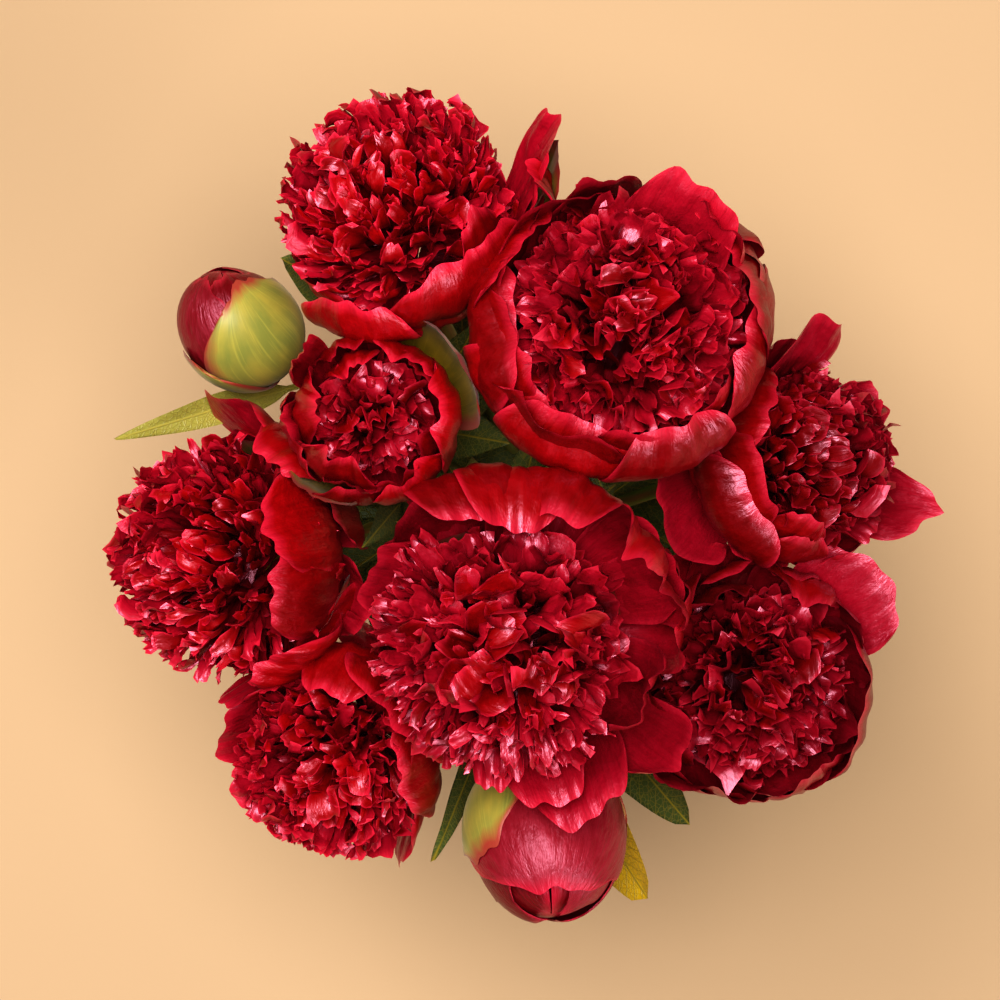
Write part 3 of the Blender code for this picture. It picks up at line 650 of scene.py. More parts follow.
def crowd_sheets(rng, bloom, heart, crowd):
    """One crowd of inner petals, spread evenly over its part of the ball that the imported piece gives."""
    axis = bloom.axis
    away = square_to(axis, np.array([axis[0], axis[1], 0.0]) + 1e-6)
    pole = turned(axis, np.cross(axis, away), math.radians(heart.nod))
    low, high = (math.cos(math.radians(angle)) for angle in crowd.tilt)
    count = crowd.count
    order = (np.arange(count) + 0.5) / count
    tilt = np.arccos(low + order * (high - low)) + rng.normal(0, 0.05, count)
    golden = (np.arange(count) * (3 - math.sqrt(5)) / 2) % 1
    first = square_to(pole, compass_way(crowd.compass))
    second = np.cross(pole, first)
    turn = math.radians(crowd.fan) * (2 * golden - 1) + rng.normal(0, 0.10, count)
    flat = np.cos(turn)[:, None] * first + np.sin(turn)[:, None] * second
    outward = unit(np.sin(tilt)[:, None] * flat + np.cos(tilt)[:, None] * pole)

    squeeze = bloom.depth / bloom.radius
    height = outward @ axis
    stretch = 1 / np.sqrt((1 - height ** 2) + (height / squeeze) ** 2)
    out = rng.uniform(*crowd.out, count)
    ball = bloom.radius * stretch * out
    tips = bloom.middle + ball[:, None] * outward

    centres = np.array([
        turned(pole, unit(np.cross(pole, compass_way(swirl.compass))), math.radians(swirl.tilt))
        for swirl in heart.swirls
    ])
    near = outward @ centres.T + rng.normal(0, 0.02, (count, len(centres)))
    target = centres[near.argmax(axis=1)]
    toward = target - (target * outward).sum(axis=1, keepdims=True) * outward
    distance = ball * np.linalg.norm(toward, axis=1)
    toward = turned(unit(toward), outward, np.radians(rng.normal(0, crowd.jumble, count)))
    lay = np.radians(rng.normal(crowd.lay, crowd.scatter, count))
    finish = unit(np.cos(lay)[:, None] * outward + np.sin(lay)[:, None] * toward)
    root = bloom.middle - 0.75 * bloom.depth * axis
    start = unit(tips - root)
    side = unit(np.cross(toward, outward))

    share = rng.uniform(0, 1, count)
    width = MM * (crowd.width[0] + (crowd.width[1] - crowd.width[0]) * share)
    width = np.minimum(width, 2.2 * distance + 0.006)
    length = MM * rng.uniform(*crowd.length, count)
    teeth = MM * crowd.teeth * rng.uniform(0.5, 1.3, count)
    ruffle = MM * crowd.ruffle * rng.uniform(0.5, 1.4, count)
    cup = np.clip(0.5 * width / np.maximum(distance, 0.004), 0.25, 1.1)
    cup = cup + rng.normal(0, 0.02 * crowd.jumble, count)
    curl = rng.normal(0.1, 0.15 + 0.025 * crowd.scatter, count)
    fold = rng.normal(0.12, 0.10 + 0.008 * crowd.jumble, count)
    columns = 11 if crowd.width[1] > BROAD_FROM else 7
    # petals that end deeper in the ball get a smaller unshaded share: more of each is painted in shade
    glow = np.clip(0.15 + 0.85 * (out - 0.55) / 0.35, 0.2, 1)
    growth = Growth(length, width, teeth, ruffle, cup, curl, fold)
    return grown_sheets(rng, tips, start, finish, side, growth, math.radians(crowd.jumble), columns, glow)


def curve_through(start, start_pull, end, end_pull, share):
    """Places on a curve that leaves its start and reaches its end along the pulls."""
    share = share[:, None]
    rest = 1 - share
    bends = 3 * (start + start_pull) * share * rest ** 2, 3 * (end - end_pull) * share ** 2 * rest
    return start * rest ** 3 + bends[0] + bends[1] + end * share ** 3


def guard_line(bloom, guard, order, clearance):
    """A broad petal's middle line, out from and up the bloom's axis, its reach, and the way that it faces."""
    axis = bloom.axis
    if guard.level:
        spot = MM * (guard.reach * compass_way(guard.compass) + np.array([0.0, 0.0, guard.rise]))
        rim = np.array([np.linalg.norm(spot - spot @ axis * axis), spot @ axis])
        ahead = unit(spot - spot @ axis * axis)
    else:
        rim = MM * np.array([guard.reach, guard.rise])
        ahead = square_to(axis, compass_way(guard.compass))
    base = np.array([0.04 * bloom.radius, -bloom.depth - clearance - LAYER_GAP * order])
    base_pull = np.array([1.05 * bloom.radius, 0.0])
    tip = math.radians(guard.tip) - (math.asin(ahead[2]) if guard.level else 0.0)
    rim_pull = guard.belly * bloom.radius * np.array([math.cos(tip), math.sin(tip)])
    return curve_through(base, base_pull, rim, rim_pull, np.linspace(0, 1, 60)), rim[0], ahead


def guard_waves(rng, name, wave, phases, along, across):
    """How far a broad petal lies off its smooth form: ruffles, a slant, a curled edge and fine pleats."""
    lift = wave * along ** 2.5 * (
        0.9 * np.sin(1.5 * math.pi * across * (0.8 + 0.4 * rng.random()) + phases[2])
        + 0.5 * np.abs(across) ** 2 * np.sin(3.2 * math.pi * along + phases[3] + 1.5 * np.sign(across))
        + 0.14 * np.sin(5.2 * math.pi * across + phases[4] + 2 * along)
    )
    lift = lift + rng.normal(0.0008, 0.0022) * across * along + 0.35 * wave * np.abs(across) ** 5 * along
    folds = seeded(name)
    pleats = np.sin(15.0 * across + 1.7 * along + folds.uniform(0, 2 * math.pi))
    pleats = pleats + 1.1 * soft_noise(folds, 1, along.size, across.size, 10)[0]
    return lift + PLEAT_DEPTH * np.minimum(2.2 * along, 1.0) * pleats


def guard_sheet(rng, bloom, guard, order, thick, rows=22, columns=27, clearance=0.0012):
    """One broad petal round the side of a bloom, from under its inner petals to its rolled or spread rim."""
    profile, rim_reach, ahead = guard_line(bloom, guard, order, clearance)
    beside = np.cross(bloom.axis, ahead)
    steps = np.diff(profile, axis=0)
    step = np.linalg.norm(steps, axis=1)
    run = distances_along(profile)
    length = run[-1]

    along = np.linspace(0, 1, rows)[:, None]
    across = np.linspace(-1, 1, columns)[None, :]
    phases = rng.uniform(0, 2 * math.pi, 8)
    late = np.clip((run[:-1] / length - 0.74) / 0.26, 0, 1)[:, None] ** 1.4
    uneven = 0.65 + 0.35 * np.sin(2.4 * across + phases[6]) + 0.15 * np.sin(6.1 * across + phases[7])
    slope = np.arctan2(steps[:, 1], steps[:, 0])[:, None] + math.radians(guard.roll) * late * uneven
    out_line, up_line = (
        np.concatenate([np.full((1, columns), first), first + np.cumsum(step[:, None] * way(slope), axis=0)])
        for first, way in zip(profile[0], (np.cos, np.sin))
    )
    slope = np.concatenate([slope, slope[-1:]])
    rolled = guard.tip > ROLLED_FROM
    scallop = 0.014 * np.sin(5.3 * across + phases[0]) + 0.012 * np.sin(11 * across + phases[1])
    scallop = (0.4 if rolled else 1.0) * scallop
    peak = guard.peak * (1 - np.abs(across)) ** 1.5
    trim = 0.10 * np.abs(across) ** 6 if rolled else 0.13 * np.abs(across) ** 3.8
    distance = along * (1 - (trim - scallop - peak) * along ** 3) * length
    out, up, inward_out, inward_up = (np.empty((rows, columns)) for _ in range(4))
    for column in range(columns):
        spot = distance[:, column]
        beyond = np.maximum(spot - length, 0)
        last = slope[-1, column]
        out[:, column] = np.interp(spot, run, out_line[:, column]) + beyond * math.cos(last)
        up[:, column] = np.interp(spot, run, up_line[:, column]) + beyond * math.sin(last)
        inward_out[:, column] = -np.sin(np.interp(spot, run, slope[:, column]))
        inward_up[:, column] = np.cos(np.interp(spot, run, slope[:, column]))
    out = np.maximum(out, 0.0005)

    round_tip = np.clip((along - 0.55) / 0.45, 0, 1)
    breadth = 0.7 + 0.3 * np.sin(np.clip(along / 0.6, 0, 1) * math.pi / 2)
    breadth = breadth * np.sqrt(1 - (0.22 if rolled else 0.36) * round_tip ** 3)
    turn = math.radians(guard.span) * breadth * across

    lift = guard_waves(rng, f"{bloom.name} folds {order}", guard.wave * MM, phases, along, across)
    out = out + lift * inward_out
    up = up + lift * inward_up
    turn = turn + rng.normal(0, 0.07) * along + 0.04 * np.sin(2.2 * along + phases[5]) * along
    points = (
        bloom.middle + (out * np.cos(turn))[..., None] * ahead + (out * np.sin(turn))[..., None] * beside
        + up[..., None] * bloom.axis
    )
    lay = laid_out(across * (math.radians(guard.span) * rim_reach), along * length)
    return Sheets(points[None], lay[None], np.array([rng.random()]), thick)


def egg_sheet(rng, bud, wrap, thick):
    """A petal or sepal that lies on a bud's egg, whose tip is drawn round to where the bud points."""
    tip_compass, tip_tilt = BUD_TIPS[bud.name]
    tip_tilt = math.radians(tip_tilt)
    tip = math.sin(tip_tilt) * compass_way(tip_compass) + np.array([0, 0, math.cos(tip_tilt)])
    ahead = square_to(bud.axis, compass_way(wrap.compass))
    beside = np.cross(bud.axis, ahead)
    along = np.linspace(0, 1, wrap.rows)[:, None]
    across = np.linspace(-1, 1, wrap.columns)[None, :]
    phases = rng.uniform(0, 2 * math.pi, 4)
    trim = 0.16 * np.abs(across) ** 2.2 - 0.015 * np.sin(7 * across + phases[0])
    trim = trim - 0.01 * np.sin(13 * across + phases[1])
    trim = trim * (wrap.span < CLOSED_FROM)
    climb = np.radians(wrap.low + (wrap.high - wrap.low) * along * (1 - trim * along ** 3))
    taper = 1 - (1 - wrap.blunt) * np.clip((along - 0.45) / 0.55, 0, 1) ** 2
    turn = math.radians(wrap.span) * across * taper + math.radians(wrap.lean) * along
    radius = bud.radius * wrap.swell * np.sin(climb) ** 0.9 * (1 + 0.06 * np.cos(climb))
    height = -bud.depth * (1 + 0.6 * (wrap.swell - 1)) * np.cos(climb)
    away = 0.0006 * across + wrap.part * MM * along ** 3
    away = away + 0.0005 * np.sin(3 * across + phases[2]) * along ** 2
    radius = radius + away * np.sin(climb)
    height = height - away * np.cos(climb)
    ball = (
        (radius * np.cos(turn))[..., None] * ahead + (radius * np.sin(turn))[..., None] * beside
    ) / bud.radius + (height / bud.depth)[..., None] * bud.axis
    ball = turned(ball, unit(np.cross(bud.axis, tip)), math.acos(bud.axis @ tip) * (climb / math.pi) ** 1.5)
    upward = (ball @ bud.axis)[..., None] * bud.axis
    points = bud.middle + bud.radius * (ball - upward) + bud.depth * upward
    reach = math.radians(wrap.span) * bud.radius
    run = bud.depth * math.radians(wrap.high - wrap.low)
    lay = laid_out(across * reach, along * run)
    return Sheets(points[None], lay[None], np.array([rng.random()]), thick)


# ---- Stems, leaves and twine ------------------------------------------------------------

def smooth_path(knots, count):
    """Evenly spaced places on a smooth curve through knots."""
    knots = np.asarray(knots)
    pulls = np.gradient(knots, axis=0)
    share = np.linspace(0, len(knots) - 1, count)
    index = np.minimum(share.astype(int), len(knots) - 2)
    part = (share - index)[:, None]
    first, second, pull, next_pull = knots[index], knots[index + 1], pulls[index], pulls[index + 1]
    return (
        (2 * part ** 3 - 3 * part ** 2 + 1) * first + (part ** 3 - 2 * part ** 2 + part) * pull
        + (3 * part ** 2 - 2 * part ** 3) * second + (part ** 3 - part ** 2) * next_pull
    )


def stem_line(name):
    """Middles of a packed stem's rings, from its foot up."""
    corners = points_of(f"{name}_stem")
    corners = corners[np.argsort(corners[:, 2])]
    breaks = np.flatnonzero(np.diff(corners[:, 2]) > 0.006) + 1
    return np.array([ring.mean(axis=0) for ring in np.split(corners, breaks)])


def stem_tube(rng, name):
    """A stem with soft ridges and slightly swollen joints, flaring into the seat of its bloom."""
    path = smooth_path(stem_line(name), STEM_POINTS)
    share = np.linspace(0, 1, STEM_POINTS)[:, None]
    turn = np.arange(TUBE_SIDES)[None, :] * 2 * math.pi / TUBE_SIDES
    radius = STEM_RADIUS - STEM_TAPER * share
    joints = sum(np.exp(-((share - place) / 0.012) ** 2) for place in STEM_JOINTS)
    seat = np.clip((share - 0.975) / 0.025, 0, 1) ** 2
    ridges = 0.045 * np.cos(5 * turn + 3 * share + rng.uniform(0, 6))
    return Tube(path, radius * (1 + ridges + 0.16 * joints + 0.5 * seat), rng.random())


def read_leaf(node):
    """Foot, middle and tip of a packed leaf, and half its greatest width."""
    corners = points_of(node)
    middle = corners.mean(axis=0)
    long_way = np.linalg.svd(corners - middle)[2][0]
    along = (corners - middle) @ long_way
    ends = [corners[np.argsort(sign * along)[:6]].mean(axis=0) for sign in (1, -1)]
    stems = np.concatenate([smooth_path(stem_line(name), STEM_POINTS) for name in (*HEARTS, *BUD_PETALS)])
    foot, tip = sorted(ends, key=lambda end: np.linalg.norm(stems - end, axis=1).min())
    level = unit(np.array([tip[0] - foot[0], tip[1] - foot[1], 0.0]))
    side = np.cross(UPRIGHT, level)
    half = np.ptp((corners - middle) @ side) / 2
    central = corners[np.abs(along) < 0.1 * np.ptp(along)]
    return foot, central.mean(axis=0), tip, half


def leaf_sheet(rng, path, half, stalk, roll, blunt=1.0, rows=34, columns=11):
    """A leaf blade with a bare stalk, folded along its midrib."""
    path = smooth_path(path, rows)
    along = np.linspace(0, 1, rows)[:, None]
    across = np.linspace(-1, 1, columns)[None, :]
    blade = np.clip((along - stalk) / (1 - stalk), 0, 1)
    width = 0.0011 * (1 - blade) + half * np.sin(math.pi * blade ** 0.78) ** (0.85 / blunt) + 0.0002
    ahead = unit(np.gradient(path, axis=0))
    level = np.cross(UPRIGHT, path[-1] - path[0])
    side = unit(level - (ahead * level).sum(axis=-1, keepdims=True) * ahead)
    face = np.cross(ahead, side)
    side = turned(side, ahead, roll * along[:, 0])
    face = turned(face, ahead, roll * along[:, 0])
    phases = rng.uniform(0, 2 * math.pi, 4)
    beside = width * across
    waves = (
        np.abs(across) ** 2 * np.sin(9 * along + phases[0] + 1.3 * np.sign(across))
        + 0.4 * np.abs(across) * np.sin(21 * along + phases[1])
    )
    lift = LEAF_FOLD * np.abs(beside) + LEAF_WAVE * MM * blade * waves
    slanted = np.sin(26 * along - 2.2 * np.abs(across) + phases[2])
    ribs = 0.12 * MM * np.abs(slanted) * np.clip(4 * blade, 0, 1)
    points = path[:, None] + beside[..., None] * side[:, None] + (lift - ribs)[..., None] * face[:, None]
    run = np.linalg.norm(np.diff(path, axis=0), axis=1).sum()
    return Sheets(points[None], laid_out(beside, along * run)[None], np.array([rng.random()]), LEAF_THICK)


def side_leaflets(rng, path, half, pairs):
    """Pairs of leaflets that branch from a leaf's stalk, one of each pair to each side."""
    foot, middle, tip = path
    sheets = []
    for pair in range(pairs):
        fork = foot + (0.24 - 0.14 * pair) * (tip - foot) + (0.35 - 0.2 * pair) * (middle - (foot + tip) / 2)
        for sign in (-1, 1):
            angle = sign * math.radians(rng.uniform(38, 52) + 30 * pair)
            end = fork + turned(tip - fork, UPRIGHT, angle) * rng.uniform(0.72, 0.86)
            bow = (fork + end) / 2 + np.array([0, 0, rng.uniform(0.002, 0.008)])
            leaflet = np.array([fork, bow, end])
            sheets.append(leaf_sheet(rng, leaflet, half * rng.uniform(0.85, 1.05), 0.08, rng.normal(0, 0.3)))
    return sheets


def twine_tubes(rng, low, high, radius, windings):
    """The wound twine, its knot and its two short tails, with three strands twisted in each."""
    middle_height = (low.z + high.z) / 2
    ring = (high.x - low.x) / 2 - radius * 1.02
    centre = np.array([(low.x + high.x) / 2, (low.y + high.y) / 2, 0.0])
    turn = np.linspace(0, 2 * math.pi * windings, 150 * windings)
    climb = (turn / turn[-1] - 0.5) * (high.z - low.z - 2.2 * radius)
    wobble = 0.0002 * np.sin(7.3 * turn)
    out = ring + wobble * 0.3
    height = middle_height + climb + wobble
    coil = centre + np.stack([out * np.cos(turn), out * np.sin(turn), height], axis=-1)
    front = centre + np.array([ring + 1.6 * radius, 0.0, middle_height])
    loop = np.linspace(0, 2 * math.pi, 60)
    knot = np.stack([0.0006 * np.sin(2 * loop), 0.0026 * np.cos(loop), 0.0042 * np.sin(loop)], axis=-1)
    tails = [
        smooth_path([
            front + np.array([0.0002, 0, 0]),
            front + np.array([0.0022, sign * 0.004, -0.003]),
            front + np.array([0.0022, sign * 0.009, -0.012]),
            front + np.array([0.0004, sign * 0.012, -0.024]),
        ], 50)
        for sign in (-1, 1)
    ]
    around = np.arange(TUBE_SIDES)[None, :] * 2 * math.pi / TUBE_SIDES
    tubes = []
    for path in (coil, front + knot, *tails):
        twist = 2 * math.pi * distances_along(path)[:, None] / TWIST_PITCH
        tubes.append(Tube(path, radius * (0.86 + 0.14 * np.cos(3 * around - twist)), rng.random()))
    return tubes


# ---- Materials --------------------------------------------------------------------------

def scaled(colour, factor):
    """A colour made brighter or darker."""
    return tuple(factor * channel for channel in colour)


class Recipe:
    """A node material around one Principled shader."""

    def __init__(self, name):
        self.material = bpy.data.materials.new(name)
        self.material.use_nodes = True
        self.tree = self.material.node_tree
        self.shader = self.tree.nodes["Principled BSDF"]

    def node(self, kind, **choices):
        """A new node of the material."""
        made = self.tree.nodes.new(kind)
        for key, value in choices.items():
            setattr(made, key, value)
        return made

    def feed(self, socket, value):
        """Links an output to a socket, or sets a constant on it."""
        if isinstance(value, bpy.types.NodeSocket):
            self.tree.links.new(value, socket)
        elif socket.type == "RGBA" and len(value) == 3:
            socket.default_value = (*value, 1)
        else:
            socket.default_value = value

    def mark(self, title):
        """The three numbers that each point of a piece carries under a title."""
        source = self.node("ShaderNodeAttribute", attribute_name=title)
        split = self.node("ShaderNodeSeparateXYZ")
        self.feed(split.inputs[0], source.outputs["Vector"])
        return split.outputs

    def joined(self, x, y, z):
        """A vector of three numbers."""
        join = self.node("ShaderNodeCombineXYZ")
        for socket, value in zip(join.inputs, (x, y, z)):
            self.feed(socket, value)
        return join.outputs[0]

    def calc(self, operation, *values):
        """One step of arithmetic."""
        made = self.node("ShaderNodeMath", operation=operation)
        for socket, value in zip(made.inputs, values):
            self.feed(socket, value)
        return made.outputs[0]

    def times(self, first, second):
        """A product."""
        return self.calc("MULTIPLY", first, second)

    def noise(self, vector, scale, detail=2.0, roughness=0.5):
        """A cloudy pattern from about 0 to 1."""
        made = self.node("ShaderNodeTexNoise")
        self.feed(made.inputs["Vector"], vector)
        made.inputs["Scale"].default_value = scale
        made.inputs["Detail"].default_value = detail
        made.inputs["Roughness"].default_value = roughness
        return made.outputs["Fac"]

    def grain(self, lay, across, along, layer=1, shift=0, detail=2.0, roughness=0.5):
        """A pattern drawn out over a sheet, which layer and shift make different on each sheet."""
        x, y, shade = lay
        x = self.calc("MULTIPLY_ADD", x, across, self.times(shade, shift)) if shift else self.times(x, across)
        y = self.times(y, along)
        z = shade if layer == 1 else self.times(shade, layer)
        return self.noise(self.joined(x, y, z), 1.0, detail, roughness)

    def span(self, value, low, high, to_low=0.0, to_high=1.0):
        """A number carried from one range to another and kept inside it."""
        made = self.node("ShaderNodeMapRange")
        for socket, entry in zip(made.inputs, (value, low, high, to_low, to_high)):
            self.feed(socket, entry)
        return made.outputs[0]

    def blend(self, share, first, second):
        """A mix of two colours."""
        made = self.node("ShaderNodeMix", data_type="RGBA")
        self.feed(made.inputs[0], share)
        self.feed(made.inputs[6], first)
        self.feed(made.inputs[7], second)
        return made.outputs[2]

    def bump(self, height, distance, strength=1.0, under=None):
        """Fine relief, on top of the relief under it if there is any."""
        made = self.node("ShaderNodeBump")
        self.feed(made.inputs["Height"], height)
        made.inputs["Distance"].default_value = distance
        made.inputs["Strength"].default_value = strength
        if under is not None:
            self.feed(made.inputs["Normal"], under)
        return made.outputs[0]

    def finish(self, colour, roughness, normal, **constants):
        """The material, once its shader is fed."""
        self.feed(self.shader.inputs["Base Color"], colour)
        self.feed(self.shader.inputs["Roughness"], roughness)
        self.feed(self.shader.inputs["Normal"], normal)
        for title, value in constants.items():
            self.feed(self.shader.inputs[title.replace("_", " ")], value)
        return self.material


# The tint of the light that petals throw back.
PETAL_SHEEN = (1.0, 0.52, 0.70)


def petal_finish(name, bright, deep, back, vein_width, foot, gloss):
    """Satin petal: fine veins, a paler back whose pink is partly painted sheen, brighter thin edges, painted
    shade at its foot.
    """
    made = Recipe(name)
    lay = made.mark("lay")
    edge, along, side = made.mark("place")
    veins = made.grain(lay, 1 / vein_width, 0.045, layer=17.0, shift=91.0, detail=2.5, roughness=0.6)
    crinkle = made.grain(lay, 0.24, 0.13, layer=53.0, detail=3.0, roughness=0.55)
    light = made.calc("MULTIPLY_ADD", lay[2], 0.55, made.times(crinkle, 0.7))
    colour = made.blend(made.span(light, 0.2, 1.0), deep, bright)
    # the lower side takes the back colour, whose pink is partly its own colour and partly painted sheen
    colour = made.blend(made.times(side, 0.75), colour, back)
    thin_edge = tuple(1.6 * channel + 0.012 for channel in back)
    colour = made.blend(made.span(edge, 0.86, 1.0, 0.0, 0.7), colour, thin_edge)
    colour = made.blend(made.span(veins, 0.42, 0.72, 0.0, 0.30), colour, deep)
    # painted shade: each petal darkens towards its foot, deep in the bloom where shade falls; foot sets how
    # far up it goes
    colour = made.blend(made.span(along, foot, 0.0, 0.0, 0.85), colour, scaled(deep, 0.45))
    roughness = made.span(crinkle, 0.3, 0.75, 0.31, 0.45)
    fine = made.bump(veins, 0.00032, 0.6)
    soft = made.bump(crinkle, 0.0018, 0.5, fine)
    return made.finish(colour, roughness, soft, IOR=gloss, Specular_IOR_Level=1.0, Specular_Tint=PETAL_SHEEN)


def sepal_finish(name, green, yellow, blush):
    """Smooth sepal: fine parallel veins, yellow streaks and a blushing edge."""
    made = Recipe(name)
    lay = made.mark("lay")
    edge, _, _ = made.mark("place")
    veins = made.grain(lay, 0.9, 0.03, layer=13.0, shift=71.0, detail=3.0, roughness=0.6)
    patch = made.grain(lay, 0.11, 0.06, layer=37.0, detail=3.0)
    colour = made.blend(made.span(patch, 0.35, 0.65), green, yellow)
    pale = tuple(min(1.0, 1.5 * channel) for channel in yellow)
    colour = made.blend(made.span(veins, 0.5, 0.75, 0.0, 0.45), colour, pale)
    flush = made.calc("MULTIPLY_ADD", patch, 0.25, edge)
    colour = made.blend(made.span(flush, 0.89, 1.06, 0.0, 0.9), colour, blush)
    normal = made.bump(veins, 0.00015, 0.5)
    return made.finish(colour, 0.42, normal, Sheen_Weight=0.1, Sheen_Roughness=0.4)


def leaf_finish(name, green, vein_colour, pale):
    """Leaf with a ribbed midrib, slanting side veins and a net of small ones between."""
    made = Recipe(name)
    lay = x, y, shade = made.mark("lay")
    _, _, side = made.mark("place")
    off = made.calc("ABSOLUTE", x)
    slanted = made.calc("SUBTRACT", made.times(y, 0.17), made.times(off, 0.21))
    wobble = made.grain(lay, 0.15, 0.15)
    wave = made.calc("SINE", made.calc("MULTIPLY_ADD", slanted, math.pi, made.times(wobble, 1.6)))
    rib = made.span(made.calc("ABSOLUTE", wave), 0.0, 0.16, 1.0, 0.0)
    middle = made.span(off, 0.15, 0.65, 1.0, 0.0)
    net = made.node("ShaderNodeTexVoronoi", feature="DISTANCE_TO_EDGE")
    made.feed(net.inputs["Vector"], made.joined(x, made.times(y, 0.8), shade))
    net.inputs["Scale"].default_value = 0.55
    small = made.span(net.outputs["Distance"], 0.0, 0.10, 0.55, 0.0)
    vein = made.calc("MAXIMUM", made.calc("MAXIMUM", rib, middle), small)
    patch = made.grain(lay, 0.1, 0.07, detail=3.0)
    colour = made.blend(made.span(patch, 0.3, 0.7), green, scaled(green, 0.55))
    colour = made.blend(made.times(side, 0.8), colour, pale)
    colour = made.blend(made.times(vein, 0.8), colour, vein_colour)
    normal = made.bump(vein, 0.0005, 0.6, made.bump(patch, 0.0015, 0.3))
    return made.finish(colour, 0.45, normal, Sheen_Weight=0.05)


def stem_finish(name, skin, blush, cut):
    """Ridged green skin, streaked and flushed red, and a pale moist cut."""
    made = Recipe(name)
    lay = made.mark("lay")
    _, along, _ = made.mark("place")
    streak = made.grain(lay, 0.9, 0.03, shift=31.0, detail=3.0)
    patch = made.grain(lay, 0.2, 0.02)
    colour = made.blend(made.span(streak, 0.35, 0.7), skin, scaled(skin, 1.5))
    flush = made.times(made.span(patch, 0.4, 0.7), made.span(along, 0.3, 1.0, 0.15, 0.8))
    colour = made.blend(flush, colour, blush)
    colour = made.blend(made.span(along, 0.0, 0.004, 1.0, 0.0), colour, cut)
    return made.finish(colour, 0.48, made.bump(streak, 0.0002, 0.5))


def twine_finish(name, fibre):
    """Dry jute: fine hairs along the twist, with painted shade in the hollows between them."""
    made = Recipe(name)
    x, y, shade = made.mark("lay")
    slant = made.calc("MULTIPLY_ADD", x, 2.2, made.times(y, 1.1))
    hairs = made.noise(made.joined(slant, made.times(y, 0.35), shade), 1.0, 4.0, 0.7)
    # painted shade: the hollows between the hairs take a darker copy of the fibre colour
    colour = made.blend(made.span(hairs, 0.35, 0.7), scaled(fibre, 0.35), fibre)
    return made.finish(colour, 0.9, made.bump(hairs, 0.0002, 0.8), Sheen_Weight=0.2)


# ---- Settings ---------------------------------------------------------------------------

def colour_setting(name, description, default):
    """A colour that can be set in the panel."""
    return bpy.props.FloatVectorProperty(
        name=name, description=description, subtype="COLOR", size=3, min=0, max=1, default=default)


def size_setting(name, description, default, least, most):
    """A length that can be set in the panel."""
    return bpy.props.FloatProperty(
        name=name, description=description, unit="LENGTH", default=default, min=least, max=most)


class PetalSettings(bpy.types.PropertyGroup):
    """Colours and thickness of the petals"""

    bright: colour_setting("Bright", "Petals where they are freshest", (0.34, 0.0010, 0.0040))
    deep: colour_setting("Deep", "Petals where they are darkest", (0.128, 0.0001, 0.0004))
    # the backs' pink is partly their own colour and partly painted sheen
    back: colour_setting("Back", "The paler backs and thin edges of the petals", (0.37, 0.007, 0.031))
    bud: colour_setting("Bud", "Petals of a bud that is still closed", (0.30, 0.018, 0.036))
    guard_thickness: size_setting("Guard thickness", "Thickness of a guard petal", 0.0007, 0.0002, 0.002)


class GreenSettings(bpy.types.PropertyGroup):
    """Colours of the sepals, leaves and stems"""

    sepal: colour_setting("Sepal green", "Fresh part of a sepal", (0.27, 0.285, 0.068))
    sepal_yellow: colour_setting("Sepal yellow", "Streaks and veins of a sepal", (0.42, 0.36, 0.075))
    shaded_sepal: colour_setting("Shaded sepal", "Sepal under an open bloom", (0.17, 0.125, 0.012))
    shaded_yellow: colour_setting("Shaded yellow", "Streaks of a shaded sepal", (0.30, 0.20, 0.016))
    blush: colour_setting("Blush", "Reddened edge of a sepal", (0.36, 0.03, 0.035))
    leaf: colour_setting("Leaf", "Upper face of a leaf", (0.026, 0.036, 0.006))
    vein: colour_setting("Leaf veins", "Veins of a leaf", (0.34, 0.27, 0.03))
    leaf_back: colour_setting("Leaf back", "Lower face of a leaf", (0.10, 0.14, 0.04))
    stem: colour_setting("Stem", "Skin of the stems", (0.13, 0.19, 0.035))
    cut: colour_setting("Cut end", "Cut ends of the stems", (0.55, 0.55, 0.32))
    pale: colour_setting("Pale leaflet", "Young leaflet beside a bud", (0.36, 0.33, 0.07))
    autumn: colour_setting("Yellowed leaf", "Leaf that has turned", (0.60, 0.40, 0.01))


class TwineSettings(bpy.types.PropertyGroup):
    """The twine round the stems"""

    fibre: colour_setting("Fibre", "Dry jute fibres", (0.50, 0.35, 0.18))
    radius: size_setting("Radius", "Half the thickness of the twine", 0.00115, 0.0003, 0.003)
    windings: bpy.props.IntProperty(
        name="Turns", description="Turns of twine round the stems", default=5, min=1, max=12)


class StageSettings(bpy.types.PropertyGroup):
    """The plain floor and its light"""

    floor: colour_setting("Floor", "The plain floor", (0.524, 0.364, 0.224))
    light: bpy.props.FloatProperty(
        name="Light", description="Power of the light", unit="POWER", default=66.0, min=0, max=2000)


def settings(group):
    """A group of settings of this scene."""
    return getattr(bpy.context.scene, f"peonies_{group}")


# ---- Stage ------------------------------------------------------------------------------

# A soft round light. place and width: metres; share: of the light setting.
Lamp = namedtuple("Lamp", "name place width share")

LAMPS = (
    Lamp("key_light", (-0.95, 0.95, 2.9), 1.5, 0.66), Lamp("top_light", (0.0, 0.1, 3.3), 1.3, 1.06),
    Lamp("fill_light", (2.0, -1.6, 1.9), 1.6, 0.58), Lamp("side_light", (-2.1, -1.3, 1.9), 1.6, 0.10),
)
LAMP_COLOUR = (1.0, 0.97, 0.93)
SKY_COLOUR = (1.0, 0.93, 0.84)
SKY_STRENGTH = 0.05

# In metres: half the floor's side; how far below the top of the bunch the lights and the camera take
# the flower heads to be; the camera's distance from there, and the width and the middle of its view
# there.
FLOOR_HALF = 8.0
HEAD_DROP = 0.075
CAMERA_DISTANCE = 1.6
VIEW_WIDTH = 0.4
VIEW_MIDDLE = (-0.0014, 0.0050)


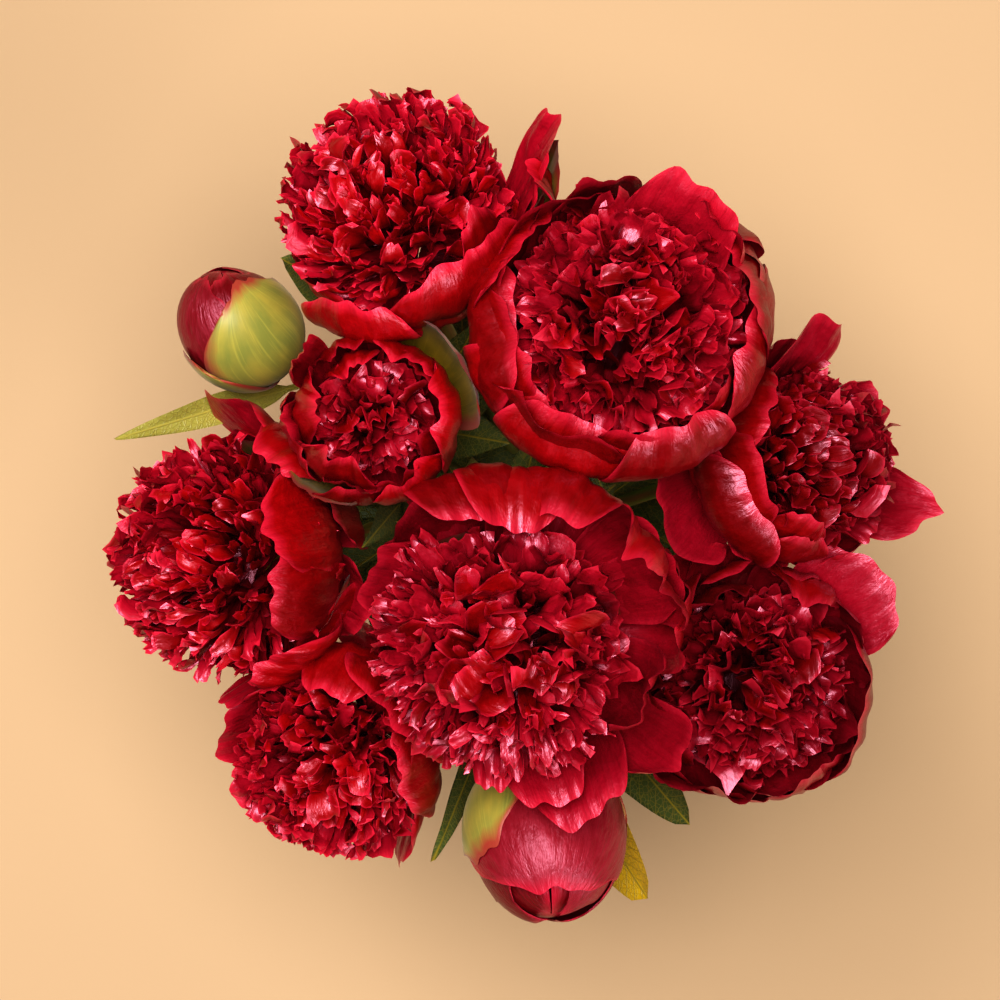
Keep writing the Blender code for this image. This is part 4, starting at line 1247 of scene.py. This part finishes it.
def lay_floor(tone):
    """A plain, faintly clouded floor."""
    mesh = bpy.data.meshes.new("floor")
    corners = [(x * FLOOR_HALF, y * FLOOR_HALF, 0) for x, y in ((-1, -1), (1, -1), (1, 1), (-1, 1))]
    mesh.from_pydata(corners, [], [(0, 1, 2, 3)])
    floor = bpy.data.objects.new("floor", mesh)
    made = Recipe("floor")
    place = made.node("ShaderNodeTexCoord").outputs["Object"]
    colour = made.blend(made.span(made.noise(place, 2.0), 0.3, 0.7), tone, scaled(tone, 0.96))
    mesh.materials.append(made.finish(colour, 0.85, made.bump(made.noise(place, 300.0), 0.0002, 0.2)))
    bpy.context.scene.collection.objects.link(floor)


def hang_lamps(power, aim):
    """The soft lights, all turned to the flower heads."""
    for lamp in LAMPS:
        disk = bpy.data.lights.new(lamp.name, "AREA")
        disk.shape = "DISK"
        disk.size = lamp.width
        disk.energy = power * lamp.share
        disk.color = LAMP_COLOUR
        light = bpy.data.objects.new(lamp.name, disk)
        light.location = lamp.place
        light.rotation_euler = (light.location - aim).to_track_quat("Z", "Y").to_euler()
        bpy.context.scene.collection.objects.link(light)


def set_sky():
    """A faint warm light from all round, and the contrast of the view."""
    scene = bpy.context.scene
    world = bpy.data.worlds.new("soft_sky")
    world.use_nodes = True
    sky = world.node_tree.nodes["Background"]
    sky.inputs["Color"].default_value = (*SKY_COLOUR, 1)
    sky.inputs["Strength"].default_value = SKY_STRENGTH
    scene.world = world
    scene.view_settings.view_transform = "Standard"
    scene.view_settings.look = "High Contrast"


def set_camera(head):
    """A camera straight above the flower heads."""
    view = bpy.data.cameras.new("overhead")
    view.sensor_width = 36.0
    view.lens = view.sensor_width * CAMERA_DISTANCE / VIEW_WIDTH
    view.clip_end = 20
    camera = bpy.data.objects.new("overhead", view)
    camera.location = (*VIEW_MIDDLE, head + CAMERA_DISTANCE)
    bpy.context.scene.collection.objects.link(camera)
    bpy.context.scene.camera = camera


# ---- Operators --------------------------------------------------------------------------

def toned(tone, colours):
    """The petal colours, in the depth of one bloom."""
    return [scaled(colour, tone) for colour in (colours.bright, colours.deep, colours.back)]


class PEONIES_OT_inner_petals(bpy.types.Operator):
    """Grow the crowd of inner petals of each bloom"""

    bl_idname = "peonies.inner_petals"
    bl_label = "Inner Petals"

    def execute(self, context):
        colours = settings("petals")
        for name, heart in HEARTS.items():
            node = f"{name}_inner_petals"
            tones = toned(heart.tone[0], colours)
            # foot: how far up each inner petal the painted shade at its foot reaches
            finish = petal_finish(f"{name}_inner", *tones, vein_width=1.1, foot=0.6, gloss=1.62)
            bloom = read_bloom(name, node)
            rng = seeded(node)
            groups = [crowd_sheets(rng, bloom, heart, crowd) for crowd in heart.crowds]
            groups += [
                guard_sheet(rng, bloom, petal, -order, ROW_THICK, rows=18, columns=19, clearance=-0.002)
                for order, petal in enumerate(INNER_ROWS.get(name, ()))
            ]
            build_piece(f"{name}_heart", groups, finish, "inner_petals", node)
        return {"FINISHED"}


class PEONIES_OT_guard_petals(bpy.types.Operator):
    """Shape the broad guard petals round each bloom"""

    bl_idname = "peonies.guard_petals"
    bl_label = "Guard Petals"

    def execute(self, context):
        colours = settings("petals")
        for name, guards in GUARDS.items():
            tones = toned(HEARTS[name].tone[1], colours)
            # foot: how far up each guard petal the painted shade at its foot reaches
            finish = petal_finish(f"{name}_guard", *tones, vein_width=1.2, foot=0.35, gloss=1.58)
            bloom = read_bloom(name, f"{name}_inner_petals")
            rng = seeded(f"{name}_guards")
            groups = [
                guard_sheet(rng, bloom, guard, order, colours.guard_thickness)
                for order, guard in enumerate(guards)
            ]
            build_piece(f"{name}_guards", groups, finish, "guard_petals", f"{name}_guard_petals")
        return {"FINISHED"}


class PEONIES_OT_sepals(bpy.types.Operator):
    """Shape the green sepals under each bloom"""

    bl_idname = "peonies.sepals"
    bl_label = "Sepals"

    def execute(self, context):
        greens = settings("greens")
        finish = sepal_finish("sepal", greens.shaded_sepal, greens.shaded_yellow, greens.blush)
        for name, sepals in SEPALS.items():
            bloom = read_bloom(name, f"{name}_inner_petals")
            rng = seeded(f"{name}_sepals")
            groups = [
                guard_sheet(rng, bloom, sepal, order, SEPAL_THICK, rows=14, columns=13, clearance=0.0045)
                for order, sepal in enumerate(sepals)
            ]
            build_piece(f"{name}_calyx", groups, finish, "sepals", f"{name}_sepals")
        return {"FINISHED"}


class PEONIES_OT_buds(bpy.types.Operator):
    """Wrap the closed petals and the sepals of the two buds"""

    bl_idname = "peonies.buds"
    bl_label = "Buds"

    def execute(self, context):
        colours, greens = settings("petals"), settings("greens")
        tones = colours.bud, colours.deep, colours.back
        skin = petal_finish("bud_petal", *tones, vein_width=0.9, foot=0.01, gloss=1.42)
        green = sepal_finish("bud_sepal", greens.sepal, greens.sepal_yellow, greens.blush)
        for name in BUD_PETALS:
            node = f"{name}_closed_petals"
            bud = read_bloom(name, node)
            rng = seeded(node)
            petals = [egg_sheet(rng, bud, petal, BUD_THICK) for petal in BUD_PETALS[name]]
            build_piece(f"{name}_petals", petals, skin, "bud_petals", node)
            sepals = [egg_sheet(rng, bud, sepal, SEPAL_THICK) for sepal in BUD_SEPALS[name]]
            build_piece(f"{name}_calyx", sepals, green, "sepals", f"{name}_sepals")
        return {"FINISHED"}


class PEONIES_OT_stems(bpy.types.Operator):
    """Draw the ridged stems from their cut feet to the blooms"""

    bl_idname = "peonies.stems"
    bl_label = "Stems"

    def execute(self, context):
        greens = settings("greens")
        finish = stem_finish("stem", greens.stem, greens.blush, greens.cut)
        for name in (*HEARTS, *BUD_PETALS):
            node = f"{name}_stem"
            build_piece(f"{name}_stalk", [stem_tube(seeded(node), name)], finish, "stems", node)
        return {"FINISHED"}


class PEONIES_OT_leaves(bpy.types.Operator):
    """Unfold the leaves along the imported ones"""

    bl_idname = "peonies.leaves"
    bl_label = "Leaves"

    def execute(self, context):
        greens = settings("greens")
        finishes = {
            "dark": leaf_finish("leaf", greens.leaf, greens.vein, greens.leaf_back),
            # painted light: the plain leaf colour made five times brighter, for a leaf in the heads' shade
            "fresh": leaf_finish("fresh_leaf", scaled(greens.leaf, 5.0), greens.vein, greens.leaf_back),
            "pale": leaf_finish("young_leaf", greens.pale, greens.sepal_yellow, greens.pale),
            "autumn": leaf_finish("yellow_leaf", greens.autumn, greens.vein, greens.autumn),
        }
        for number in range(1, LEAF_COUNT + 1):
            node = f"leaf_{number:02d}"
            rng = seeded(node)
            foot, middle, tip, half = read_leaf(node)
            path = np.array([foot, middle, tip + np.array(TIP_BENDS.get(number, (0.0, 0.0, 0.0)))])
            half *= BROAD_LEAVES.get(number, 1.0)
            sheets = [leaf_sheet(rng, path, half, 0.14, rng.normal(0, 0.3), BLUNT_LEAVES.get(number, 1.0))]
            sheets += side_leaflets(rng, path, half, LEAFLET_PAIRS.get(number, 0))
            build_piece(f"{node}_blade", sheets, finishes[LEAF_KINDS.get(number, "dark")], "leaves", node)
        return {"FINISHED"}


class PEONIES_OT_twine(bpy.types.Operator):
    """Wind and knot the twine round the stems"""

    bl_idname = "peonies.twine"
    bl_label = "Twine Tie"

    def execute(self, context):
        twine = settings("twine")
        low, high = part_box("twine_tie")
        tubes = twine_tubes(seeded("twine_tie"), low, high, twine.radius, twine.windings)
        build_piece("twine", tubes, twine_finish("twine", twine.fibre), "twine", "twine_tie")
        return {"FINISHED"}


class PEONIES_OT_stage(bpy.types.Operator):
    """Lay the plain floor and set the soft light and the camera"""

    bl_idname = "peonies.stage"
    bl_label = "Floor, Light and Camera"

    def execute(self, context):
        stage = settings("stage")
        low, high = PACKED_BOX
        head = high.z - HEAD_DROP
        aim = (low + high) / 2
        aim.z = head
        lay_floor(stage.floor)
        hang_lamps(stage.light, aim)
        set_sky()
        set_camera(head)
        return {"FINISHED"}


class PEONIES_PT_panel(bpy.types.Panel):
    """The bunch's settings and its steps in order"""

    bl_label = "Peonies"
    bl_idname = "PEONIES_PT_panel"
    bl_space_type = "VIEW_3D"
    bl_region_type = "UI"
    bl_category = "Peonies"

    def draw(self, context):
        for group, title in GROUPS.items():
            box = self.layout.box()
            for setting in group.__annotations__:
                box.prop(settings(title), setting)
        for step in STEPS:
            self.layout.operator(step.bl_idname)


GROUPS = {PetalSettings: "petals", GreenSettings: "greens", TwineSettings: "twine", StageSettings: "stage"}
STEPS = (
    PEONIES_OT_stage, PEONIES_OT_inner_petals, PEONIES_OT_guard_petals, PEONIES_OT_sepals, PEONIES_OT_buds,
    PEONIES_OT_stems, PEONIES_OT_leaves, PEONIES_OT_twine,
)


def register():
    """Adds the settings, the steps and the panel."""
    for made in (*GROUPS, *STEPS, PEONIES_PT_panel):
        bpy.utils.register_class(made)
    for group, title in GROUPS.items():
        setattr(bpy.types.Scene, f"peonies_{title}", bpy.props.PointerProperty(type=group))


def unregister():
    """Takes away what register adds."""
    for title in GROUPS.values():
        delattr(bpy.types.Scene, f"peonies_{title}")
    for made in reversed((*GROUPS, *STEPS, PEONIES_PT_panel)):
        bpy.utils.unregister_class(made)


def main():
    """Takes all the steps in order."""
    register()
    for step in STEPS:
        group, title = step.bl_idname.split(".")
        getattr(getattr(bpy.ops, group), title)()


if __name__ == "__main__":
    main()
